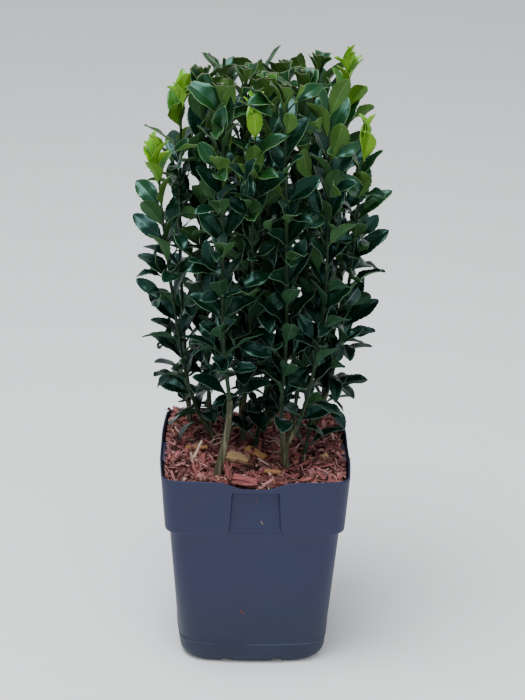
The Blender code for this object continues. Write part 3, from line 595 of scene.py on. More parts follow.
class ChipHeap:
    """Gathers chips as one mesh: a bent, split-ended stick with four or six sides for each."""

    def __init__(self):
        self.points = []
        self.faces = []
        self.woods = []
        self.fibre = []

    def add(self, centre, size, turn, wood, rng, sawn=False, outside=False):
        length, width, thick = size
        frame_turn = Euler(turn).to_matrix()
        bend = rng.uniform(-0.06, 0.06) * length * (not sawn)
        twist = rng.uniform(-0.5, 0.5) * (not sawn)
        first = len(self.points)
        offset = rng.uniform(0, 500)
        thin = width < SPLINTER_WIDTH
        stops = SPLINTER_STOPS if thin else CHIP_STOPS
        outline = SPLINTER_OUTLINE if thin else CHIP_OUTLINE
        for number, stop in enumerate(stops):
            end = number in (0, len(stops) - 1) and not sawn
            slim = rng.uniform(*(END_SLIMNESS if end else BODY_SLIMNESS))
            roll = twist * (stop - 0.5)
            drift = rng.uniform(-0.08, 0.08) * width
            for across, up in outline:
                y = across * width / 2 * slim + drift
                z = up * thick / 2 * (END_THINNESS if end else 1.0) * rng.uniform(0.75, 1.15)
                x = (stop - 0.5) * length + rng.uniform(-0.04, 0.04) * length * end
                z += bend * (1 - (2 * stop - 1) ** 2)
                y, z = y * math.cos(roll) - z * math.sin(roll), y * math.sin(roll) + z * math.cos(roll)
                point = frame_turn @ Vector((x, y, z)) + centre
                self.points.append(point if outside else self.kept_inside(point))
                self.fibre.append((stop * length / MM + offset, across * width / MM + up * 0.7 + offset))
        faces = skin([outline] * len(stops))[1]
        self.faces += [tuple(first + corner for corner in face) for face in faces]
        self.woods += [WOOD_NAMES.index(wood)] * len(faces)

    def kept_inside(self, point):
        """Below the rim, a chip's point stays inside the wall."""
        if point.z > POT_TOP + MM:
            return point
        recess = RECESS_BACK if point.z < POT_TOP - LIP_TALL else 0
        edge = panel_edge(POT_TOP) + POT_WALL + MM
        for axis, other in ((0, 1), (1, 0)):
            place = abs(point[other])
            bow = SIDE_BOW * (1 - (place / (RIM_HALF - RIM_CORNER)) ** 2)
            limit = CHIP_REACH + max(bow, 0) - recess * smooth((edge - place) / (1.5 * MM))
            if abs(point[axis]) > limit:
                point[axis] = math.copysign(limit, point[axis])
        inner = CHIP_REACH - RIM_CORNER
        over = Vector((max(abs(point.x) - inner, 0), max(abs(point.y) - inner, 0)))
        if over.x > 0 and over.y > 0 and over.length > RIM_CORNER:
            over *= RIM_CORNER / over.length
            point.x = math.copysign(inner + over.x, point.x)
            point.y = math.copysign(inner + over.y, point.y)
        return point

    def piece(self, name):
        made = shaped(name, self.points, self.faces, list(WOODS.values()), 38)
        made.data.polygons.foreach_set("material_index", self.woods)
        layer = made.data.uv_layers.new(name="fibre")
        corners = np.empty(len(made.data.loops), np.int32)
        made.data.loops.foreach_get("vertex_index", corners)
        layer.data.foreach_set("uv", np.array(self.fibre, np.float32)[corners].ravel())
        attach(made, "root")


# Thin pale roots and brown strands that lie on top, each with the points of its run in mm
ROOTLETS = (
    ((-21.5, 15.0, 8.0), (-25.0, 14.0, 9.5), (-29.0, 12.0, 8.0), (-30.5, 9.0, 6.0)),
    ((-22.0, 11.0, 7.0), (-26.0, 9.0, 8.5), (-30.0, 8.5, 7.0), (-32.0, 5.0, 6.0)),
    ((-21.5, 8.0, 6.5), (-24.0, 4.0, 8.0), (-27.0, 2.0, 7.0), (-29.5, 3.5, 5.5)),
    ((19.0, 6.0, 6.0), (15.5, 9.0, 9.0), (12.0, 11.0, 8.0), (9.5, 16.0, 8.5)),
    ((18.0, 3.0, 6.0), (14.5, 6.0, 8.5), (11.0, 7.0, 7.0), (8.0, 11.0, 6.5)),
)
STRANDS = (
    ((-22.0, -57.5, 6.0), (-13.0, -63.0, 6.2), (-3.0, -66.4, 4.4), (3.5, -67.4, 2.6)),
    ((-9.0, -60.0, 6.4), (2.0, -64.5, 5.4), (8.0, -66.6, 3.6)),
    ((-16.0, -50.0, 5.0), (-11.0, -57.0, 7.0), (-3.0, -62.5, 5.8)),
)


# Bits stuck to the pot's front: both ends as across and height in mm, thickness, and wood
STUCK = (
    ((0.2, 138.6), (0.8, 131.6), 0.3, "brown"),
    ((3.8, 117.6), (5.2, 115.0), 0.4, "tan"),
    ((-9.6, 44.8), (-6.0, 42.2), 0.8, "red"),
)


def stick_bits(heap, rng):
    for start, end, thick, wood in STUCK:
        low = end[1] * MM
        out = collar_half(low) - panel_step(low) if low > LEDGE else body_half(low)
        y = -out - SIDE_BOW - thick * MM * 0.3
        first, last = (Vector((x * MM, y, z * MM)) for x, z in (start, end))
        along = last - first
        size = (along.length, thick * MM, thick * MM * 0.6)
        turn = along.to_track_quat("X", "Y").to_euler()
        heap.add((first + last) / 2, size, turn, wood, rng, sawn=True, outside=True)


def over_mulch(x, y, height=0.0):
    return Vector((x * MM, y * MM, MULCH_LEVEL + height * MM))


def smooth_run(points, steps):
    """Points along a smooth curve through a few others."""
    knots = [points[0]] + list(points) + [points[-1]]
    run = [points[0]]
    for before, start, end, after in zip(knots, knots[1:], knots[2:], knots[3:]):
        out = start + (end - before) / 6
        into = end - (after - start) / 6
        run += interpolate_bezier(start, out, into, end, steps)[1:]
    return run


def lay_fibres(heap, runs, thick, wood, rng):
    """Draws each thin fibre as short straight sticks from point to point of its run."""
    for run in runs:
        line = smooth_run([over_mulch(*point) for point in run], 5)
        for start, end in zip(line, line[1:]):
            along = end - start
            turn = along.to_track_quat("X", "Z").to_euler()
            size = (along.length * 1.25, thick, thick)
            heap.add((start + end) / 2, size, turn, wood, rng, sawn=True)


def scatter(heap, number, total, sizes, shares, rng):
    """One loose chip or splinter: its size and tilt as drawn, its place anywhere in the pot."""
    x = rng.uniform(-1, 1) * CHIP_REACH
    y = rng.uniform(-1, 1) * CHIP_REACH
    (length, width, thick), (roll, steep), rise = sizes(number / total, rng)
    turn = (roll, steep, rng.uniform(0, math.pi))
    rise += abs(math.sin(steep)) * length * 0.2
    centre = Vector((x, y, MULCH_LEVEL + bed_height(x, y) + rise))
    heap.add(centre, (length, width, thick), turn, rng.choices(WOOD_NAMES, shares)[0], rng)


def chip_sizes(layer, rng):
    length = rng.triangular(0.004, 0.020, 0.008)
    width = min(rng.triangular(0.0009, 0.0039, 0.0017), 0.42 * length)
    thick = rng.uniform(0.3, 0.7) * width + 0.0002
    steep = rng.gauss(0, 0.30) if rng.random() < 0.85 else rng.gauss(0, 0.75)
    return (length, width, thick), (rng.gauss(0, 0.4), steep), (layer - 0.35) * 0.0042


def splinter_sizes(layer, rng):
    length = rng.triangular(0.003, 0.016, 0.006)
    width = rng.triangular(0.0003, 0.0012, 0.0006)
    steep = rng.gauss(0, 0.35)
    return (length, width, width * 0.7), (rng.gauss(0, 0.3), steep), layer * 0.0032


def place_marked(heap, row, rng):
    """A chip that stands out, split into strands where it is wide and not sawn."""
    centre, size, turn, wood, sawn = row
    place = over_mulch(*centre)
    length, width, thick = (measure * MM for measure in size)
    turn = [math.radians(angle) for angle in turn]
    strands = 1 if sawn else max(1, round(width / STRAND_WIDTH))
    for number in range(strands):
        aside = Vector((0, ((number + 0.5) / strands - 0.5) * width, rng.gauss(0, 0.0003)))
        aside.rotate(Euler(turn))
        part = (length * rng.uniform(0.8, 1.0), width / strands * STRAND_LAP, thick)
        heap.add(place + aside, part, [angle + rng.gauss(0, 0.04) for angle in turn], wood, rng, sawn)


def fill_with_chips():
    rng = random.Random(CHIP_SEED)
    heap = ChipHeap()
    for number in range(CHIP_TOTAL):
        scatter(heap, number, CHIP_TOTAL, chip_sizes, CHIP_SHARES, rng)
    for number in range(SPLINTER_TOTAL):
        scatter(heap, number, SPLINTER_TOTAL, splinter_sizes, SPLINTER_SHARES, rng)
    for row in MARKED_CHIPS:
        place_marked(heap, row, rng)
    lay_fibres(heap, ROOTLETS, ROOTLET_THICK, "pale", rng)
    lay_fibres(heap, STRANDS, STRAND_THICK, "brown", rng)
    stick_bits(heap, rng)
    heap.piece("bark_chips")


make_bed()
fill_with_chips()


# Stems and boughs
# Woody shoots of two or three years, their bark green-brown with pale corky ridges that run
# lengthwise. They rise from the mulch, lean outwards and fork low down.
# Each stem: where its foot stands on the mulch and how thick it is there, as a radius, in mm
STEMS = {
    "front": ((-26.6, -39.5), 2.9),
    "left": ((-27.7, 22.0), 2.3),
    "back_left": ((-46.5, 43.0), 2.1),
    "middle": ((-7.4, 21.0), 2.4),
    "right": ((22.0, -25.0), 2.8),
    "back_right": ((43.0, 45.0), 2.4),
    "back": ((11.0, 47.0), 2.4),
}

Shoot = namedtuple("Shoot", "stem fork knee waist tip bare turn top seed")
# Each shoot, in mm over the mulch and degrees: its stem, the height of its fork, three points of
# its line, the height of its first leaves, the turn of its first pair, how its top ends, its seed
SHOOT_ROWS = {
    "front": ("front", None, (-18.5, -40, 50), (-23.5, -43, 112), (-25, -44, 277), 56, 175, "clipped", 11),
    "centre_front": ("middle", 20, (-7, -8, 61), (-5, -34, 132), (-4, -41, 258), 44, 255, "young", 12),
    "right_front": ("right", None, (17.5, -29, 47), (19, -38, 126), (14, -45, 277), 36, 285, "clipped", 13),
    "left": ("left", None, (-47, 11, 47), (-61.5, -2, 142), (-69, -5, 219), 22, 225, "young", 14),
    "right_edge": ("back_right", None, (55, 17, 57), (62.5, -6, 132), (70, -9, 236), 37, 5, "young", 15),
    "right_fore": ("right", 15, (35, -27, 55), (45, -31, 136), (44, -26, 262), 33, 215, "leafy", 16),
    "left_inner": ("left", 9, (-34, 22, 55), (-39, 9, 142), (-37, 5, 277), 31, 240, "clipped", 17),
    "back_left": ("back_left", None, (-50, 35, 55), (-54, 18, 154), (-53, 12, 258), 27, 280, "young", 18),
    "centre": ("middle", 8, (8, 7, 51), (7, -12, 144), (3, -18, 276), 32, 240, "clipped", 19),
    "right_inner": ("right", 11, (29, -8, 53), (32, -4, 149), (27, 0, 277), 32, 300, "clipped", 20),
    "middle": ("middle", None, (-11, 17, 53), (-12, 9, 154), (-10, 7, 277), 29, 255, "clipped", 21),
    "back_right": ("back_right", 13, (55, 44, 59), (60, 34, 154), (59, 27, 274), 34, 310, "young", 22),
    "back_middle": ("back", None, (8, 50, 53), (5, 51, 154), (1, 47, 263), 28, 225, "leafy", 23),
    "back_inner": ("back", 10, (15, 33, 55), (15, 27, 154), (14, 25, 276), 31, 280, "clipped", 24),
    "rear_right": ("back", 15, (30, 52, 59), (38, 51, 154), (40, 47, 277), 34, 250, "clipped", 25),
    "rear_left": ("back_left", 11, (-33, 48, 59), (-28, 50, 154), (-25, 48, 265), 29, 215, "clipped", 26),
}
SHOOTS = {name: Shoot(*row) for name, row in SHOOT_ROWS.items()}
TWIG_FOOT_RADIUS = 0.0019
TWIG_TIP_RADIUS = 0.0009
BARK_GAP = 0.0003
# How much a stem's foot and a bough's fork are thicker, and a bough's share of its stem
FLARE = 0.3
FORK_SWELL = 0.25
BOUGH_SHARE = 0.72
# The bark's relief: sides of a limb, step along it, height of the ridges, and how close they lie
BARK_RELIEF = (18, 0.0009, 0.0003)
RIDGES_ROUND = 2.2
RIDGES_ALONG = 70
KNOTS_ALONG = 260
STEM_GAP = 0.0004
STEM_SUNK = 0.0015


class Line:
    """A smooth line through a few points, read by the distance along it."""

    def __init__(self, points):
        self.points = smooth_run(points, 16)
        self.far = [0.0]
        for start, end in zip(self.points, self.points[1:]):
            self.far.append(self.far[-1] + (end - start).length)
        self.length = self.far[-1]

    def at(self, distance):
        k = int(np.searchsorted(self.far, distance, side="right")) - 1
        k = min(max(k, 0), len(self.points) - 2)
        part = (distance - self.far[k]) / (self.far[k + 1] - self.far[k])
        return self.points[k].lerp(self.points[k + 1], part)

    def along(self, distance):
        step = 4 * MM
        high = min(distance + step, self.length)
        return (self.at(high) - self.at(max(distance - step, 0.0))).normalized()

    def distance_at_height(self, height):
        heights = [point.z for point in self.points]
        return float(np.interp(MULCH_LEVEL + height * MM, heights, self.far))


def leader_of(stem):
    return next(name for name, shoot in SHOOTS.items() if shoot.stem == stem and shoot.fork is None)


def limb_of(name):
    return f"stem_{SHOOTS[name].stem}" if SHOOTS[name].fork is None else f"bough_{name}"


def shoot_lines():
    """The stems' own lines first, then those of the boughs that fork from them."""
    lines = {}
    for name, shoot in sorted(SHOOTS.items(), key=lambda item: item[1].fork is not None):
        if shoot.fork is None:
            foot = over_mulch(*STEMS[shoot.stem][0])
        else:
            parent = lines[leader_of(shoot.stem)]
            foot = parent.at(parent.distance_at_height(shoot.fork))
        bends = (shoot.knee, shoot.waist, shoot.tip)
        lines[name] = Line([foot] + [over_mulch(*point) for point in bends])
    return lines


LINES = shoot_lines()
STARTS = {name: LINES[name].distance_at_height(shoot.bare) for name, shoot in SHOOTS.items()}


def limb_radius(stem, share):
    foot = STEMS[stem][1] * MM
    flare = FLARE * math.exp(-share / 0.06)
    return foot * (1 + flare) * (1 - share) + TWIG_FOOT_RADIUS * share


def away_from(along, turn):
    """The direction square to a run, at a turn about it."""
    first = (Vector((1, 0, 0)) - along * along.x).normalized()
    return first * math.cos(turn) + along.cross(first) * math.sin(turn)


def rough_tube(line, low, high, radius_at, sides, step, ridge, seed):
    """A tube along a line whose wall has lengthwise ridges, small knots and dents."""
    rings = []
    count = max(int((high - low) / step), 2)
    for number in range(count + 1):
        distance = low + (high - low) * number / count
        along = line.along(distance)
        radius = radius_at(distance)
        ring = []
        for k in range(sides):
            turn = 2 * math.pi * k / sides
            x, y = math.cos(turn) * RIDGES_ROUND, math.sin(turn) * RIDGES_ROUND
            ridges = noise.noise(Vector((x, y, distance * RIDGES_ALONG + seed)))
            knots = noise.noise(Vector((x, y, distance * KNOTS_ALONG + seed)))
            out = radius + ridge * (ridges + 0.9 * knots)
            ring.append(line.at(distance) + away_from(along, turn) * out)
        rings.append(ring)
    return rings


def stem_bark():
    made, tree, shader = new_material("green-brown bark", 0.8)
    broad = uneven(tree, 130, (0.017, 0.023, 0.009), (0.070, 0.070, 0.033), 2.6, (1, 1, 0.35))[0]
    streaks = uneven(tree, 420, (0, 0, 0), (1, 1, 1), 6.0, (1, 1, 0.10))[1]
    pale = put(tree, "MapRange", {"Value": streaks, "From Min": 0.72, "From Max": 1.0})
    colour = mixed(tree, pale.outputs["Result"], broad, (0.16, 0.145, 0.085, 1))
    set_surface(tree, shader, colour, streaks, 0.00025, 0.8)
    return made


STEM_BARK = stem_bark()


def bark_radius(name):
    """How thick the limb of a shoot is at each distance along its line."""
    stem, fork = SHOOTS[name].stem, SHOOTS[name].fork
    if fork is None:
        return lambda distance: limb_radius(stem, min(distance / STARTS[name], 1.0))
    leader = leader_of(stem)
    thick = limb_radius(stem, LINES[leader].distance_at_height(fork) / STARTS[leader])

    def radius_at(distance):
        share = min(distance / STARTS[name], 1.0)
        swell = FORK_SWELL * math.exp(-share / 0.12)
        return thick * BOUGH_SHARE * (1 + swell) * (1 - share) + TWIG_FOOT_RADIUS * share

    return radius_at


def make_limb(name):
    rises = SHOOTS[name].fork is None
    ends = (STEM_GAP if rises else 0.0, STARTS[name] + 2 * MM)
    rings = rough_tube(LINES[name], *ends, bark_radius(name), *BARK_RELIEF, sum(map(ord, name)))
    if rises:
        for point in rings[0]:
            point.z = MULCH_LEVEL - STEM_SUNK
    limb = shaped(f"bark_{limb_of(name)}", *skin(rings), [STEM_BARK])
    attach(limb, "root")
    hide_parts(limb_of(name))


for shoot_name in SHOOTS:
    make_limb(shoot_name)


# Leaves
# They stand in crosswise pairs, stiff and glossy: very dark above with a pale rib and rim, matte
# and lighter beneath, folded along the rib, the margin finely toothed. The newest are
# yellow-green. Shears have cut the tops flat, and the cut edges are brown.
# Heights are over the mulch, in metres
CLIP_HEIGHT = 0.277
INTERNODE = 0.0143
LEAF_LENGTH = 0.0305
LEAF_WIDTH = 0.0160
LEAF_THICK = 0.0010
LEAF_FOLD = 0.0023
LEAF_WIDEST = 0.56
LEAF_THICKEST = 0.45
LEAF_DROP = 0.05
LEAF_SUNK = 0.0002
LEAF_CLEAR = 0.00035
SHORTEST_CUT = 0.006
# Near its own twig a leaf's room is sought from here on, with less to spare
OWN_START = 0.006
OWN_CLEAR = 0.0001
# How far a leaf may reach from its shoot, and how a pair's spread in degrees changes along it
SHOOT_REACH = 0.034
LOW_REACH = 0.014
YOUNG_REACH = 0.038
SPREAD_AT_FOOT = 54
SPREAD_LOST_UP = 22
SPREAD_LOST_YOUNG = 22
SPREAD_GAINED_LOW = 18
SPREAD_SCATTER = 10
TURN_SCATTER = 0.16
AIM_SCATTER = 0.1
NODE_SCATTER = 0.12
SIDE_TWIG_SHARE = 0.03
SIDE_TWIG_PAIRS = 2
SIDE_TWIG_LENGTHS = (0.024, 0.042)
SIDE_TWIG_RADII = (TWIG_TIP_RADIUS * 1.1, TWIG_TIP_RADIUS * 0.7)
SIDE_LEAF_SCALE = 0.74
# Leaves keep above the chips, which end this far from the pot's middle and rise this high
CHIP_LIMIT = 0.0560
CHIP_RISE = 0.0055
BARE_LEADER = 0.004
# The two low sprouts: foot and tip in mm over the mulch, the turn of the first pair, the seed
SPROUTS = {
    "sprout_right": ((34.0, -15.0), (39.5, -8.5, 31), 190, 31),
    "sprout_middle": ((0.5, 1.5), (2.5, -2.0, 26), 175, 32),
}
SPROUT_BARE = 0.0085
# Short twigs at the joints, fewer and shorter on the crown's outside
TWIG_CHANCE = 0.85
OUTER_TWIG_CHANCE = 0.45
OUTER_FROM = 0.25
OUTER_SHORTER = 0.6
OUTER_SCALES = (0.62, 0.8)
INNER_SCALES = (0.7, 0.95)
FINER_LENGTHS = (0.006, 0.017)
FINER_LIFT = 0.0012
FINER_SAG = 0.0006
FINER_ROOM = 0.0011
FINER_RADII = (0.0007, 0.0005)
# Low old pairs, crowded pairs under a cut and closed pairs in a bud: depth and tilt of each pair,
# then the tilt's scatter, the lengths and widths beside a full leaf, and the twist's scatter
LOW_PAIRS = ((0.003, 76), (0.012, 76))
LOW_KIND = (12, (0.7, 0.95), (0.75, 0.95), 0.2)
LOWEST_LEAF = 0.017
BARE_FRONT = -20
CUP_PAIRS = ((0.018, 27), (0.0095, 27))
CUP_KIND = (4, (0.86, 1.0), (1.0, 1.12), 0.1)
BUD_PAIRS = ((0.006, 24), (0.002, 13))
BUD_KIND = (3, (0.56, 0.66), (0.6, 0.7), 0.1)
BUD_YOUTH = 0.9
# How strongly blades turn out and up to the light, and between which limits in degrees
CROWN_HALF = 0.06
LIGHT_RISE = 0.9
BLADE_ROLL = (10, 50)
LEAF_FACES = [(0, 4, 1), (0, 3, 4), (2, 1, 4), (2, 4, 3), (0, 1, 5), (0, 5, 3), (2, 5, 1), (2, 3, 5)]
GUARD_FACES = [(4, 0, 3), (4, 3, 2), (4, 2, 1), (4, 1, 0), (9, 5, 6), (9, 6, 7), (9, 7, 8), (9, 8, 5)]
GUARD_FACES += [(k, (k + 1) % 4, 5 + (k + 1) % 4, 5 + k) for k in range(4)]
# How a leaf is turned aside, let droop and shortened until it has room, in the order tried
WAYS_TO_ROOM = (
    (0, 0, 1.0),
    (14, 0, 1.0),
    (-14, 0, 1.0),
    (0, 12, 1.0),
    (0, -12, 1.0),
    (26, -6, 0.94),
    (-26, -6, 0.94),
    (0, -18, 0.86),
    (36, 4, 0.86),
    (-36, 4, 0.86),
    (12, -14, 0.74),
    (-12, 14, 0.74),
)
Leaf = namedtuple("Leaf", "root along face length width")
Joint = namedtuple("Joint", "distance turn share young low")
Grown = namedtuple("Grown", "leaf kept_part share young number")


def plain_tube(line, stations, radii, sides):
    rings = []
    for distance, radius in zip(stations, radii):
        along = line.along(distance)
        centre = line.at(distance)
        turns = [2 * math.pi * k / sides for k in range(sides)]
        rings.append([centre + away_from(along, turn) * radius for turn in turns])
    return rings


def leaf_points(leaf, grow=0.0, start=-LEAF_SUNK):
    """Six points that stand for a leaf where room is sought for it."""
    root, along, face, length, width = leaf
    side = along.cross(face)
    widest = root + along * length * LEAF_WIDEST + face * LEAF_FOLD
    left = widest - side * (width / 2 + grow)
    right = widest + side * (width / 2 + grow)
    tip = root + along * (length + grow) - face * length * LEAF_DROP
    rib = root + along * length * LEAF_THICKEST
    lift = face * LEAF_THICK / 2
    return [root + along * start, left, tip, right, rib + lift, rib - lift]


def leaf_guard(leaf, start=-LEAF_SUNK, grow=LEAF_CLEAR):
    """A closed skin round a leaf that keeps others this far away."""
    points = leaf_points(leaf, grow * 1.4, start)
    lift = leaf.face * grow
    upper = [point + lift for point in points[:5]]
    lower = [point - lift for point in points[:4]] + [points[5] - lift]
    return upper + lower, GUARD_FACES


def bounds_of(points):
    return [[pick(point[k] for point in points) for k in range(3)] for pick in (min, max)]


class Crowd:
    """What is already placed, so that each new leaf or twig can keep clear of it."""

    def __init__(self):
        self.owners = []
        self.lows = []
        self.highs = []
        self.trees = []

    def add(self, owner, points, faces):
        low, high = bounds_of(points)
        self.owners.append(owner)
        self.lows.append(low)
        self.highs.append(high)
        self.trees.append(BVHTree.FromPolygons(points, faces))
        return len(self.trees) - 1

    def change(self, number, points, faces):
        self.lows[number], self.highs[number] = bounds_of(points)
        self.trees[number] = BVHTree.FromPolygons(points, faces)

    def has_room(self, number, points, faces):
        """Whether a leaf that is already placed may take this shape instead."""
        low = self.lows[number]
        self.lows[number] = [math.inf] * 3
        room = not self.touches(points, faces, None, own=False)
        self.lows[number] = low
        return room

    def touches(self, points, faces, owner, own):
        low, high = bounds_of(points)
        near = (np.array(self.lows) <= np.array(high)) & (np.array(self.highs) >= np.array(low))
        tree = None
        for k in np.flatnonzero(near.all(axis=1)):
            if (self.owners[k] == owner) != own:
                continue
            tree = tree or BVHTree.FromPolygons(points, faces)
            if tree.overlap(self.trees[k]):
                return True
        return False


def above_pot(points):
    for point in points:
        outside = max(abs(point.x), abs(point.y)) > CHIP_LIMIT
        if point.z < (POT_TOP + MM if outside else MULCH_LEVEL + CHIP_RISE + MM / 2):
            return False
    return True


def leaf_at(line, distance, turn, spread, twist, length, width):
    along = line.along(distance)
    away = away_from(along, turn)
    out = along * math.cos(spread) + away * math.sin(spread)
    face = along * math.sin(spread) - away * math.cos(spread)
    face = face * math.cos(twist) + out.cross(face) * math.sin(twist)
    return Leaf(line.at(distance), out, face, length, width)


def pair_leaves(line, joint, rng, scale=1.0):
    """Two leaves face to face, smaller and steeper towards a young tip."""
    _, turn, share, young, low = joint
    spread = SPREAD_AT_FOOT - SPREAD_LOST_UP * share - SPREAD_LOST_YOUNG * young
    for half_turn in (0, math.pi):
        tilt = math.radians(spread + SPREAD_GAINED_LOW * low + rng.gauss(0, SPREAD_SCATTER))
        length = LEAF_LENGTH * scale * (1.02 - 0.32 * young) * rng.uniform(0.88, 1.08)
        width = LEAF_WIDTH * scale * (1.0 - 0.24 * young) * rng.uniform(0.92, 1.08)
        twist = rng.gauss(0, TURN_SCATTER)
        aim = turn + half_turn + rng.gauss(0, AIM_SCATTER)
        yield leaf_at(line, joint.distance, aim, tilt, twist, length, width)


def clip_leaf(leaf, height=MULCH_LEVEL + CLIP_HEIGHT):
    """Shortens a leaf that would reach above the shears, and tells how much of it is left."""
    rise = leaf.along.z * leaf.length
    if leaf.root.z + rise <= height or rise <= 0:
        return leaf, 1.0
    kept = (height - leaf.root.z) / rise
    length = max(leaf.length * kept, SHORTEST_CUT)
    cut = leaf._replace(length=length, width=leaf.width * min(1.0, 0.45 + 0.6 * kept))
    return cut, length / leaf.length


class Growth:
    """One shoot's joints, side twigs and leaves, grown along its line."""

    def __init__(self, name, start, first_turn, top, seed, crowd):
        self.name = name
        self.owner = f"leaves_{name}"
        self.line = LINES[name]
        self.start = start
        self.top = top
        self.seed = seed
        self.crowd = crowd
        self.joints = []
        self.twigs = []
        self.leaves = []
        self.grow_leader(first_turn)

    def grow_leader(self, first_turn):
        """Crosswise pairs from the foot to the tip, and a side twig here and there."""
        rng = random.Random(self.seed)
        self.find_joints(first_turn, rng)
        for joint in self.joints:
            for leaf in pair_leaves(self.line, joint, rng):
                self.place(leaf, joint.share, joint.young)
        for number, joint in enumerate(self.joints[2:-3]):
            side_rng = random.Random(self.seed * 100 + number)
            if side_rng.random() <= SIDE_TWIG_SHARE:
                self.grow_side_twig(joint, side_rng)

    def find_joints(self, first_turn, rng):
        distance = self.start
        turn = math.radians(first_turn)
        while distance < self.line.length - 2 * MM:
            left = self.line.length - distance
            young = max(0.0, 1 - left / YOUNG_REACH) if self.top == "young" else 0.0
            low = 0.0 if self.top == "sprout" else math.exp((self.start - distance) / LOW_REACH)
            share = distance / self.line.length
            self.joints.append(Joint(distance, turn + rng.gauss(0, TURN_SCATTER), share, young, low))
            step = rng.uniform(1 - NODE_SCATTER, 1 + NODE_SCATTER)
            distance += INTERNODE * step * (1 - 0.5 * young)
            turn += math.pi / 2

    def grow_side_twig(self, joint, rng):
        along = self.line.along(joint.distance)
        away = away_from(along, joint.turn + rng.choice((0, math.pi)))
        length = rng.uniform(*SIDE_TWIG_LENGTHS)
        foot = self.line.at(joint.distance)
        bend = foot + (away * 0.62 + along * 0.78) * length * 0.5
        tip = bend + (away * 0.3 + along * 0.95) * length * 0.5
        twig = Line([foot, bend, tip])
        thick, thin = SIDE_TWIG_RADII
        guard = plain_tube(twig, (0.0, twig.length / 2, twig.length), (thick * 1.6,) * 3, 3)
        if self.crowd.touches(*skin(guard), self.owner, own=False):
            return
        rings = plain_tube(twig, np.linspace(0, twig.length, 3), (thick, thick, thin), 3)
        self.crowd.add(self.owner, *skin(rings))
        for step in range(1, SIDE_TWIG_PAIRS + 1):
            place = twig.length * step / SIDE_TWIG_PAIRS - MM
            turn = rng.uniform(-0.3, 0.3) + step * math.pi / 2
            small = Joint(place, turn, joint.share, 0.15 * step, 0.0)
            for leaf in pair_leaves(twig, small, rng, SIDE_LEAF_SCALE):
                self.place(leaf, joint.share)
        self.twigs.append((twig, SIDE_TWIG_RADII))

    def place(self, leaf, share, young=0.0, owner=None):
        """Adds a leaf where it has room, cut if it would reach above the shears."""
        owner = owner or self.owner
        leaf, kept_part = clip_leaf(leaf) if self.top == "clipped" else (leaf, 1.0)
        stem = (leaf.along - leaf.face).normalized()
        side = leaf.along.cross(leaf.face)
        for turn, droop, scale in WAYS_TO_ROOM:
            spin = Quaternion(stem, math.radians(turn)) @ Quaternion(side, math.radians(droop))
            width = leaf.width * (0.3 + 0.7 * scale)
            tried = Leaf(leaf.root, spin @ leaf.along, spin @ leaf.face, leaf.length * scale, width)
            if self.has_room(tried, owner):
                number = self.crowd.add(owner, leaf_points(tried), LEAF_FACES)
                self.leaves.append(Grown(tried, kept_part, share, young, number))
                return

    def has_room(self, leaf, owner):
        points = leaf_points(leaf)
        near = min((point - points[2]).length for point in self.line.points)
        if not above_pot(points) or near >= SHOOT_REACH:
            return False
        if self.crowd.touches(*leaf_guard(leaf), owner, own=False):
            return False
        return not self.crowd.touches(*leaf_guard(leaf, OWN_START, OWN_CLEAR), owner, own=True)

    def add_pair(self, distance, turn, tilt, kind, rng, share, young=0.0, owner=None):
        scatter, lengths, widths, twist = kind
        for half_turn in (0, math.pi):
            spread = math.radians(rng.gauss(tilt, scatter))
            length = LEAF_LENGTH * rng.uniform(*lengths)
            width = LEAF_WIDTH * rng.uniform(*widths)
            aside = rng.gauss(0, twist)
            leaf = leaf_at(self.line, distance, turn + half_turn, spread, aside, length, width)
            self.place(leaf, share, young, owner)

    def grow_low(self, limb):
        """The few old leaves that are left on the bare foot of a shoot inside the crown."""
        rng = random.Random(self.seed * 11 + 3)
        turn = rng.uniform(0, math.pi)
        for below, tilt in LOW_PAIRS:
            distance = STARTS[self.name] - below * rng.uniform(0.8, 1.2)
            turn += math.pi / 2
            if self.line.at(distance).z >= MULCH_LEVEL + LOWEST_LEAF:
                self.add_pair(distance, turn, tilt, LOW_KIND, rng, 0.0, owner=limb)

    def grow_cup(self):
        """The crowded upright pairs under a shears' cut, which end as a flat cup."""
        rng = random.Random(self.seed * 5 + 2)
        turn = self.joints[-1].turn + math.pi / 4
        for below, tilt in CUP_PAIRS:
            distance = self.line.length - below * rng.uniform(0.9, 1.1)
            turn += math.pi / 2 + rng.gauss(0, AIM_SCATTER)
            self.add_pair(distance, turn, tilt, CUP_KIND, rng, 1.0)

    def grow_bud(self):
        """The small upright pairs, one in the other, that close a growing tip."""
        rng = random.Random(self.seed * 13 + 5)
        turn = self.joints[-1].turn
        for below, tilt in BUD_PAIRS:
            turn += math.pi / 2
            self.add_pair(self.line.length - below, turn, tilt, BUD_KIND, rng, 1.0, BUD_YOUTH)

    def grow_finer(self):
        """Short twigs from the joints of leaf pairs, each with a pair of small leaves."""
        rng = random.Random(self.seed * 7 + 1)
        for joint in self.joints[1:-1]:
            for side_turn in (0.0, math.pi):
                if rng.random() <= TWIG_CHANCE:
                    turn = joint.turn + side_turn + rng.gauss(0, 0.25)
                    length = rng.uniform(*FINER_LENGTHS)
                    if joint.young == 0:
                        self.grow_finer_twig(joint, turn, length, rng)

